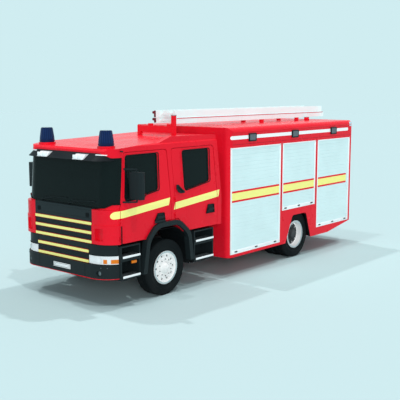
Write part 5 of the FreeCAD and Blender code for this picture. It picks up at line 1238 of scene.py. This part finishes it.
class BodyTrim(bpy.types.Operator):
    """Shutter rails, bottom bars and latches, lamp housings and roof edge seams"""
    bl_idname = "fire_engine.body_trim"
    bl_label = "Body trim"

    def shutter(self, rails, bars, latches, low, high, side):
        sizes = settings("fire_trim")
        wide, skin = sizes.rail_width, BODY_HIGH.y
        inner = high.y - 0.006
        for a, b in ((low.x - 0.004, low.x + wide), (high.x - wide, high.x + 0.004)):
            side_box(rails, side, (a, inner, low.z - 0.004), (b, skin + 0.003, high.z + 0.004),
                     0.004)
        side_box(rails, side, (low.x, inner, high.z - wide * 0.8), (high.x, skin + 0.003, high.z),
                 0.004)
        side_box(rails, side, (low.x, inner, low.z - 0.006), (high.x, skin + 0.002, low.z + 0.010),
                 0.003)
        side_box(bars, side, (low.x + wide, inner - 0.004, low.z + 0.014),
                 (high.x - wide, skin - 0.004, low.z + 0.014 + sizes.bar_height), 0.006)
        length = high.x - low.x
        for share in (0.10, 0.5, 0.90):
            x = low.x + length * share
            side_box(latches, side, (x - 0.038, skin - 0.006, low.z + 0.026),
                     (x + 0.038, skin + 0.010, low.z + 0.050), 0.005)

    def shutters(self):
        rails, bars, latches = meshes(3)
        for side, _ in SIDES:
            for low, high in SHUTTERS:
                self.shutter(rails, bars, latches, low, high, side)
        finish_piece("shutter_rails", rails, frame_white())
        finish_piece("shutter_bars", bars, frame_white())
        black_piece("shutter_latches", latches)

    def lamps(self):
        """Black housings round the lamps below the roof edge."""
        housings, bars = meshes(2)
        for low, high in ROOF_LAMPS:
            side = 1 if high.y > 0 else -1
            outer = max(abs(low.y), abs(high.y))
            skin = BODY_HIGH.y - 0.002
            points = [(x, side * skin, z) for x, z in
                      widened([(low.x, low.z), (high.x, low.z), (high.x, high.z), (low.x, high.z)],
                              0.006)]
            ring_into(housings, points, 0.022, (0, side * (outer - skin + 0.006), 0), corner=0.012,
                      bevel=0.002)
            for share in (0.36, 0.64):
                x = low.x + (high.x - low.x) * share
                side_box(bars, side, (x - 0.003, outer - 0.002, low.z + 0.02),
                         (x + 0.003, outer + 0.003, high.z - 0.02), 0.001)
        black_piece("roof_lamp_housings", housings)
        finish_piece("roof_lamp_bars", bars, dull_metal())

    def seams(self):
        """Sealed seams of the body's panels and a drip rail along each roof edge."""
        sizes = settings("fire_trim")
        half = sizes.seam / 2
        seams, rails = meshes(2)
        top = SHUTTERS[0][1].z
        for side, _ in SIDES:
            skin = BODY_HIGH.y
            side_box(seams, side, (BODY_LOW.x + 0.01, skin - 0.002, top + 0.062 - half),
                     (BODY_HIGH.x - 0.12, skin + 0.0012, top + 0.062 + half))
            for front, back in zip(SHUTTERS, SHUTTERS[1:]):
                x = (front[0].x + back[1].x) / 2
                side_box(seams, side, (x - half, skin - 0.002, max(front[0].z, back[0].z)),
                         (x + half, skin + 0.0012, top + 0.06))
            rail = [(skin - 0.002, 2.800), (skin + 0.010, 2.806), (skin + 0.010, 2.812),
                    (skin - 0.002, 2.816)]
            plate_into(rails, [(BODY_LOW.x + 0.02, side * y, z) for y, z in rail],
                       (BODY_HIGH.x - BODY_LOW.x - 0.14, 0, 0), bevel=0.001)
        finish_piece("body_seams", seams, plain("seam_red", (0.30, 0.006, 0.018)))
        finish_piece("drip_rails", rails, trim_red())

    def execute(self, context):
        self.shutters()
        self.lamps()
        self.seams()
        return {"FINISHED"}


class RoofTrim(bpy.types.Operator):
    """Beacon ribs and plinths, ladder strips of painted shade and rollers, and the roof's small
    fittings
    """
    bl_idname = "fire_engine.roof_trim"
    bl_label = "Roof trim"

    def beacons(self):
        ribs, plinths = meshes(2)
        for low, high in BEACONS:
            x, y = (low.x + high.x) / 2, (low.y + high.y) / 2
            base = (high.x - low.x) / 2
            top = base * 0.78
            tall = high.z - low.z
            for cos, sin in turns(20):
                out = Vector((cos, sin, 0))
                foot = Vector((x, y, low.z + tall * 0.22)) + out * (base - 0.003)
                head = Vector((x, y, high.z - tall * 0.10)) + out * (top + 0.001)
                rod_into(ribs, foot, head, 0.005, 6)
            band_low, band_high = low.z + tall * 0.04, low.z + tall * 0.17
            ring = [(base - 0.004, band_low), (base + 0.006, band_low + 0.004),
                    (base + 0.006, band_high - 0.004), (base - 0.004, band_high)]
            spin_into(plinths, ring, (x, y, 0), "z", 48, closed=True)
        finish_piece("beacon_ribs", ribs, lens("beacon_rib", (0.004, 0.028, 0.13)))
        finish_piece("beacon_plinths", plinths, lens("beacon_dark", (0.004, 0.010, 0.06), 0.3))

    def ladders(self):
        (low, high), (upper_low, upper_high) = LADDERS
        strips, caps = meshes(2)
        split = high.z
        # Pink lines along the split between the two ladders: painted shade of the gap with a
        # painted red bounce from the roof
        for y in (low.y, high.y):
            box_into(strips, (low.x + 0.03, y - 0.003, split - 0.012),
                     (high.x - 0.03, y + 0.003, split + 0.004), 0.001)
        for bottom, top, end in ((low.z, high.z, high.x),
                                 (upper_low.z, upper_high.z, upper_high.x)):
            box_into(caps, (end - 0.012, low.y - 0.004, bottom + 0.006),
                     (end + 0.006, low.y + 0.041, top - 0.006), 0.004)
        end = high.x + 0.010
        for z in (3.048, 3.180):
            rod_into(caps, (end, low.y - 0.022, z), (end, low.y + 0.030, z), 0.026, 20, 0.004)
        gap_shade = plain("gap_shade_pink", (0.62, 0.05, 0.09), 0.4)
        finish_piece("ladder_gap_painted_shade", strips, gap_shade)
        finish_piece("ladder_end_caps", caps, plain("cap_dark", (0.16, 0.02, 0.03)))

    def fittings(self):
        """The post's grey cap and a low block beside the ladder."""
        caps, blocks = meshes(2)
        box_into(caps, (1.564, 0.444, 3.132), (1.646, 0.526, 3.149), 0.004)
        roof = BODY_HIGH.z
        box_into(blocks, (-3.115, 0.42, roof - 0.004), (-3.015, 0.50, roof + 0.072), 0.008)
        box_into(caps, (-3.118, 0.417, roof + 0.070), (-3.012, 0.503, roof + 0.080), 0.003)
        finish_piece("roof_caps", caps, plain("cap_grey", (0.36, 0.38, 0.40)))
        finish_piece("roof_blocks", blocks, trim_red())

    def execute(self, context):
        self.beacons()
        self.ladders()
        self.fittings()
        return {"FINISHED"}


class RearEnd(bpy.types.Operator):
    """Rear shutter rails and latches, lamps, step studs, blank plate and grab rails"""
    bl_idname = "fire_engine.rear_end"
    bl_label = "Rear end"

    def shutter(self):
        sizes = settings("fire_trim")
        rails, latches = meshes(2)
        low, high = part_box("shutter_rear")
        wide, face = sizes.rail_width, BODY_LOW.x
        for y in (low.y - 0.004, high.y - wide + 0.004):
            box_into(rails, (face - 0.003, y, low.z), (low.x + 0.006, y + wide, high.z + 0.004),
                     0.004)
        box_into(rails, (face - 0.003, low.y, high.z - wide), (low.x + 0.006, high.y, high.z),
                 0.004)
        box_into(rails, (face + 0.004, low.y + wide, low.z + 0.008),
                 (low.x + 0.010, high.y - wide, low.z + 0.008 + sizes.bar_height), 0.006)
        for share in (0.12, 0.5, 0.88):
            y = low.y + (high.y - low.y) * share
            box_into(latches, (face - 0.008, y - 0.04, low.z + 0.022),
                     (face + 0.008, y + 0.04, low.z + 0.048), 0.005)
        finish_piece("rear_shutter_rails", rails, frame_white())
        black_piece("rear_shutter_latches", latches)

    def lamps(self):
        paint = settings("fire_paint")
        rims, ambers, whites, tops = meshes(4)
        for low, high in TAIL_LAMPS:
            face, tall = low.x, high.z - low.z
            points = upright(face + 0.010, (low.y - 0.008, high.y + 0.008),
                             (low.z - 0.008, high.z + 0.008))
            ring_into(rims, points, 0.014, (-0.014, 0, 0), corner=0.016, bevel=0.002)
            for bm, start, end in ((ambers, 0.68, 0.95), (whites, 0.06, 0.28)):
                box_into(bm, (face - 0.003, low.y + 0.012, low.z + tall * start),
                         (face + 0.004, high.y - 0.012, low.z + tall * end), 0.002)
        for side, _ in SIDES:
            side_box(tops, side, (BODY_LOW.x - 0.004, BODY_HIGH.y - 0.085, 2.755),
                     (BODY_LOW.x + 0.105, BODY_HIGH.y + 0.004, 2.868), 0.02)
        for low, high in TOP_LAMPS:
            box_into(tops, (low.x - 0.002, low.y - 0.002, low.z - 0.002),
                     (high.x + 0.002, high.y + 0.002, high.z + 0.002), 0.012)
        black_piece("tail_lamp_rims", rims)
        finish_piece("tail_lamp_ambers", ambers, lens("tail_amber", paint.amber,
                                                      flutes=(800.0, 800.0)))
        finish_piece("tail_lamp_whites", whites, lens("tail_white", (0.72, 0.76, 0.78),
                                                      flutes=(800.0, 800.0)))
        finish_piece("top_corner_lamps", tops, lens("corner_blue_grey", (0.50, 0.64, 0.72), 0.2,
                                                    flutes=(500.0, 0.0)))

    def step(self):
        sizes = settings("fire_trim")
        low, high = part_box("rear_step")
        high = Vector((high.x, high.y, low.z + 0.060))
        studs, edge, plate, bar = meshes(4)
        pitch = sizes.stud_pitch * 1.25
        rows = int((high.x - low.x - 0.04) / pitch)
        columns = int((high.y - low.y - 0.06) / pitch)
        for i in range(rows):
            for j in range(columns):
                spot = Vector((low.x + 0.03 + pitch * i,
                               low.y + 0.04 + pitch * (j + 0.5 * (i % 2)), high.z))
                stud_into(studs, spot, 0.010, 0.007)
        box_into(edge, (low.x - 0.003, low.y + 0.004, high.z - 0.024),
                 (low.x + 0.004, high.y - 0.004, high.z + 0.002), 0.003)
        face = BODY_LOW.x
        box_into(plate, (face - 0.040, -0.26, 0.665), (face - 0.030, 0.26, 0.780), 0.003)
        box_into(bar, (face - 0.032, -0.356, 0.700), (face - 0.014, 0.356, 0.745), 0.003)
        black_piece("rear_plate_bar", bar)
        finish_piece("rear_step_studs", studs, tread_plate())
        finish_piece("rear_step_edge", edge, frame_white())
        yellow = surface("rear_plate", (0.80, 0.74, 0.22), 0.3, 0.05, 200.0, 0.1)
        finish_piece("rear_plate_blank", plate, yellow)

    def rails(self):
        """Upright grab rails beside the rear shutter, on small feet."""
        bm = bmesh.new()
        out, skin = BODY_LOW.x - 0.062, BODY_LOW.x + 0.004
        bottom, top = 1.30, 2.10
        for side, _ in SIDES:
            y = side * 0.86
            route = ((skin, y, bottom), (out, y, bottom), (out, y, top), (skin, y, top))
            pipe_into(bm, [Vector(point) for point in route], 0.014, 16)
            for z in (bottom, top):
                rod_into(bm, (skin - 0.006, y, z), (skin + 0.002, y, z), 0.028, 24, 0.002)
        finish_piece("rear_grab_rails", bm, bright_metal())

    def execute(self, context):
        self.shutter()
        self.lamps()
        self.step()
        self.rails()
        return {"FINISHED"}


class Interior(bpy.types.Operator):
    """Padded seats in place of the plain ones, and the dashboard's dials and binnacle"""
    bl_idname = "fire_engine.interior"
    bl_label = "Interior"

    def cushion(self, name, low, high, channels):
        """A crowned pad with rounded sides and sewn channels."""
        low, high = Vector(low), Vector(high)
        size, middle = high - low, (low + high) / 2
        bm = bmesh.new()
        bmesh.ops.create_cube(bm, size=1)
        bmesh.ops.subdivide_edges(bm, edges=bm.edges[:], cuts=23, use_grid_fill=True)
        thin = min(range(3), key=lambda axis: size[axis])
        others = [axis for axis in range(3) if axis != thin]
        for vert in bm.verts:
            share = [2 * value for value in vert.co]
            edge = [math.sqrt(max(0.0, 1 - abs(share[axis]) ** 5)) for axis in others]
            full = (0.62 + 0.38 * edge[0] * edge[1])
            wave = math.cos(math.pi * channels * (share[1] + 1) / 2)
            sewn = 1 - 0.10 * max(0.0, abs(wave) - 0.86) / 0.14
            share[thin] *= full * sewn
            for axis in others:
                pull = abs(share[others[0] if axis == others[1] else others[1]])
                share[axis] *= 1 - 0.025 * (1 - pull ** 2) - 0.02 * (abs(share[thin]) ** 4)
            vert.co = middle + Vector([value * extent / 2 for value, extent in zip(share, size)])
        bmesh.ops.smooth_vert(bm, verts=bm.verts, factor=0.35, use_axis_x=True, use_axis_y=True,
                              use_axis_z=True)
        piece = finish_piece(name, bm, seat_cloth(), sharp=180)
        return piece

    def seats(self):
        rest_tall, rest_deep, inset = 0.62, 0.13, 0.006
        names = ("crew_bench", "seat_right", "seat_left")
        for name, (low, high) in zip(names, solids_of("seats")):
            ledge = high.z - rest_tall
            channels = 6 if name == "crew_bench" else 2
            self.cushion(f"{name}_cushion",
                                     (low.x + rest_deep + inset, low.y, low.z + 0.02),
                                     (high.x, high.y, ledge), channels)
            self.cushion(f"{name}_back", (low.x + inset, low.y, ledge + inset),
                                     (low.x + rest_deep, high.y, high.z), channels)
        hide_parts("seats")
        frames = bmesh.new()
        for low, high in solids_of("seats"):
            box_into(frames, (low.x + 0.01, low.y + 0.03, low.z),
                     (high.x - 0.03, high.y - 0.03, low.z + 0.028), 0.004)
            box_into(frames, (low.x, low.y + 0.03, low.z),
                     (low.x + 0.010, high.y - 0.03, high.z - 0.03), 0.003)
        finish_piece("seat_frames", frames, chassis_black())

    def dashboard(self):
        dials, glasses = meshes(2)
        top, back, front, right, left = 1.62, 3.50, 3.58, 0.42, 0.86
        foot = [(x, y, top - 0.004) for x, y in ((back, right), (back, left), (front, left),
                                                 (front, right))]
        plate_into(dials, foot, (0, 0, 0.06), corner=0.02, bevel=0.004)
        for y in (0.54, 0.64, 0.74):
            centre = (back, y, top + 0.026)
            ring = [(0.034, -0.003), (0.036, -0.006), (0.040, -0.006), (0.041, 0.001)]
            spin_into(dials, ring, centre, "x", 28, closed=True)
            spin_into(glasses, [(0, -0.002), (0.034, -0.002), (0.034, 0.002)], centre, "x", 28)
        finish_piece("dial_pod", dials, trim_black())
        finish_piece("dial_faces", glasses, surface("dial_white", (0.6, 0.62, 0.62), 0.3, 0.03,
                                                    200.0, 0.05))

    def execute(self, context):
        self.seats()
        self.dashboard()
        return {"FINISHED"}


class Underside(bpy.types.Operator):
    """Mud flaps, wheel arch linings, spring clamps and rail bolts"""
    bl_idname = "fire_engine.underside"
    bl_label = "Underside"

    # The front arch's lining and the rear arch's edge, as (x from the axle, z)
    LINER = ((0.515, 0.800), (0.480, 0.915), (0.420, 1.020), (0.330, 1.130), (0.230, 1.205),
             (-0.230, 1.205), (-0.355, 1.145), (-0.462, 1.060), (-0.548, 0.965),
             (-0.600, 0.850), (-0.612, 0.470))
    ARCH = ((0.4624, 0.377), (0.200, 0.950), (-0.330, 0.950), (-0.5312, 0.377))
    ARCH_FOOT = 0.377
    INNER = 0.526

    def flaps(self):
        """The flaps behind the front wheels, and the black linings of the four arches."""
        flaps, foot = bmesh.new(), self.ARCH_FOOT
        sheet = [*self.LINER, *((x * 0.985, 0.80 + (z - 0.80) * 0.985)
                                for x, z in reversed(self.LINER))]
        wall = [(0.420, 1.018), *((x, z) for x, z in self.LINER if z > 1.019), (-0.500, 1.018)]
        strip = [(x * 1.001, foot + (z - foot) * 1.0012) for x, z in self.ARCH]
        strip += [(-0.03 + (x + 0.03) * 0.991, foot + (z - foot) * 0.991)
                  for x, z in reversed(self.ARCH)]
        rear = min(high.x for low, high in solids_of("step_boxes") if high.x > 0)
        for side, _ in SIDES:
            side_box(flaps, side, (rear + 0.0005, 0.885, 0.455), (rear + 0.009, 1.165, 0.740),
                     0.002)
            side_box(flaps, side, (rear + 0.008, 0.900, 0.700), (rear + 0.013, 1.150, 0.725),
                     0.001)
            for outline, depth in ((sheet, 0.656), (wall, 0.006)):
                plate_into(flaps, [(AXLE.x + x, side * self.INNER, z) for x, z in outline],
                           (0, side * depth, 0))
            plate_into(flaps, [(REAR_AXLE_X + x, side * 1.2465, z) for x, z in strip],
                       (0, side * -0.046, 0))
            for low, high in (((0.546, 0.380), (0.551, 1.040)), ((-0.591, 0.380), (-0.586, 1.040)),
                              ((-0.590, 1.041), (0.550, 1.046))):
                side_box(flaps, side, (REAR_AXLE_X + low[0], 0.620, low[1]),
                         (REAR_AXLE_X + high[0], 1.198, high[1]), 0.001)
        finish_piece("mud_flaps", flaps, rubber())

    def clamps(self):
        """Two clamps round each spring's middle, with a plate below."""
        clamps = bmesh.new()
        for low, high in solids_of("leaf_springs"):
            x, y = (low.x + high.x) / 2, (low.y + high.y) / 2
            half = (high.y - low.y) / 2
            for offset in (-0.085, 0.085):
                for out in (-1, 1):
                    spot = Vector((x + offset, y + out * (half + 0.010), low.z - 0.030))
                    rod_into(clamps, spot, spot + Vector((0, 0, 0.105)), 0.010, 12, 0.001)
                box_into(clamps, (x + offset - 0.012, y - half - 0.020, low.z + 0.066),
                         (x + offset + 0.012, y + half + 0.020, low.z + 0.080), 0.003)
            box_into(clamps, (x - 0.12, y - half - 0.03, low.z - 0.012),
                     (x + 0.12, y + half + 0.03, low.z + 0.002), 0.004)
        finish_piece("spring_clamps", clamps, cast_grey())

    def bolts(self):
        """Two rows of bolts along each rail of the chassis."""
        bolts = bmesh.new()
        count, first, pitch, skin = 26, -3.4, 0.26, 0.430
        for side, _ in SIDES:
            away = Vector((0, side, 0))
            for i in range(count):
                for z in (0.700, 0.830):
                    spot = Vector((first + i * pitch, side * skin, z))
                    rod_into(bolts, spot - away * 0.001, spot + away * 0.010, 0.011, 6, 0.001)
        finish_piece("rail_bolts", bolts, dull_metal())

    def execute(self, context):
        self.flaps()
        self.clamps()
        self.bolts()
        return {"FINISHED"}


class Stage(bpy.types.Operator):
    """Camera, floor, backdrop and soft lights"""
    bl_idname = "fire_engine.stage"
    bl_label = "Stage"

    # Each lamp: the way its light travels, its strength and its angular size in degrees
    SUNS = {
        "key": ((-0.667, -0.715, -0.208), 1.50, 25),
        "over_rear": ((0.442, -0.102, -0.891), 1.00, 1.5),
        "over_left": ((-0.106, -0.425, -0.899), 0.68, 1.5),
        "over_right": ((0.047, 0.452, -0.891), 0.84, 1.5),
        "over_front": ((-0.416, 0.073, -0.906), 0.49, 1.5),
        "top": ((0.0, 0.02, -1.0), 0.44, 20),
    }

    def floor(self, context, seen):
        bm = bmesh.new()
        bmesh.ops.create_grid(bm, x_segments=1, y_segments=1, size=90)
        mesh = bpy.data.meshes.new("floor")
        bm.to_mesh(mesh)
        bm.free()
        material = bpy.data.materials.new("floor_blue")
        material.use_nodes = True
        shader = material.node_tree.nodes["Principled BSDF"]
        Nodes(material.node_tree).feed(shader.inputs["Base Color"], seen)
        shader.inputs["Roughness"].default_value = 1.0
        shader.inputs["Specular IOR Level"].default_value = 0.0
        mesh.materials.append(material)
        floor = bpy.data.objects.new("floor", mesh)
        context.scene.collection.objects.link(floor)

    def lamps(self, context):
        for name, (travel, energy, angle) in self.SUNS.items():
            data = bpy.data.lights.new(name, "SUN")
            data.energy, data.angle = energy, math.radians(angle)
            lamp = bpy.data.objects.new(name, data)
            lamp.visible_glossy = name != "key"
            lamp.rotation_euler = Vector(travel).to_track_quat("-Z", "Y").to_euler()
            context.scene.collection.objects.link(lamp)

    def sky(self, context, values):
        """Even light from all round; the camera and reflections see the backdrop instead."""
        world = bpy.data.worlds.new("studio")
        context.scene.world = world
        world.use_nodes = True
        nodes = Nodes(world.node_tree)
        lit = world.node_tree.nodes["Background"]
        nodes.feed(lit.inputs["Color"], (0.80, 0.93, 1.0))
        lit.inputs["Strength"].default_value = values.sky
        seen = nodes.add("ShaderNodeBackground")
        nodes.feed(seen.inputs["Color"], values.backdrop)
        path = nodes.add("ShaderNodeLightPath").outputs
        wanted = nodes.maths("MAXIMUM", path["Is Camera Ray"], path["Is Transmission Ray"])
        wanted = nodes.maths("MAXIMUM", wanted, path["Is Glossy Ray"])
        blend = nodes.add("ShaderNodeMixShader")
        nodes.feed(blend.inputs[0], wanted)
        nodes.feed(blend.inputs[1], lit.outputs[0])
        nodes.feed(blend.inputs[2], seen.outputs[0])
        nodes.feed(world.node_tree.nodes["World Output"].inputs["Surface"], blend.outputs[0])

    def execute(self, context):
        values = settings("fire_stage")
        data = bpy.data.cameras.new("camera")
        data.lens, data.sensor_width = values.lens, 36
        data.clip_end = 300
        camera = bpy.data.objects.new("camera", data)
        camera.location = (values.camera_x, values.camera_y, values.camera_z)
        camera.rotation_euler = (math.radians(90 - values.pitch), 0,
                                 math.radians(values.heading - 90))
        context.scene.collection.objects.link(camera)
        context.scene.camera = camera
        self.floor(context, values.floor)
        self.lamps(context)
        self.sky(context, values)
        context.scene.view_settings.view_transform = "Standard"
        return {"FINISHED"}


OPERATORS = (Stage, Finishes, Tyres, WheelTrim, Glazing, FrontTrim, CabTrim, BodyTrim, RoofTrim,
             RearEnd, Interior, Underside)


class FirePanel(bpy.types.Panel):
    """Lists the pieces of the fire engine"""
    bl_idname = "VIEW3D_PT_fire_engine"
    bl_label = "Fire engine"
    bl_space_type = "VIEW_3D"
    bl_region_type = "UI"
    bl_category = "Fire engine"

    def draw(self, context):
        for operator in OPERATORS:
            self.layout.operator(operator.bl_idname)


def register():
    for name, kind in SETTINGS.items():
        bpy.utils.register_class(kind)
        setattr(bpy.types.Scene, name, PointerProperty(type=kind))
    for kind in (*OPERATORS, FirePanel):
        bpy.utils.register_class(kind)


def unregister():
    for kind in (FirePanel, *reversed(OPERATORS)):
        bpy.utils.unregister_class(kind)
    for name, kind in SETTINGS.items():
        delattr(bpy.types.Scene, name)
        bpy.utils.unregister_class(kind)


def main():
    register()
    for operator in OPERATORS:
        family, call = operator.bl_idname.split(".")
        getattr(getattr(bpy.ops, family), call)()


if __name__ == "__main__":
    main()
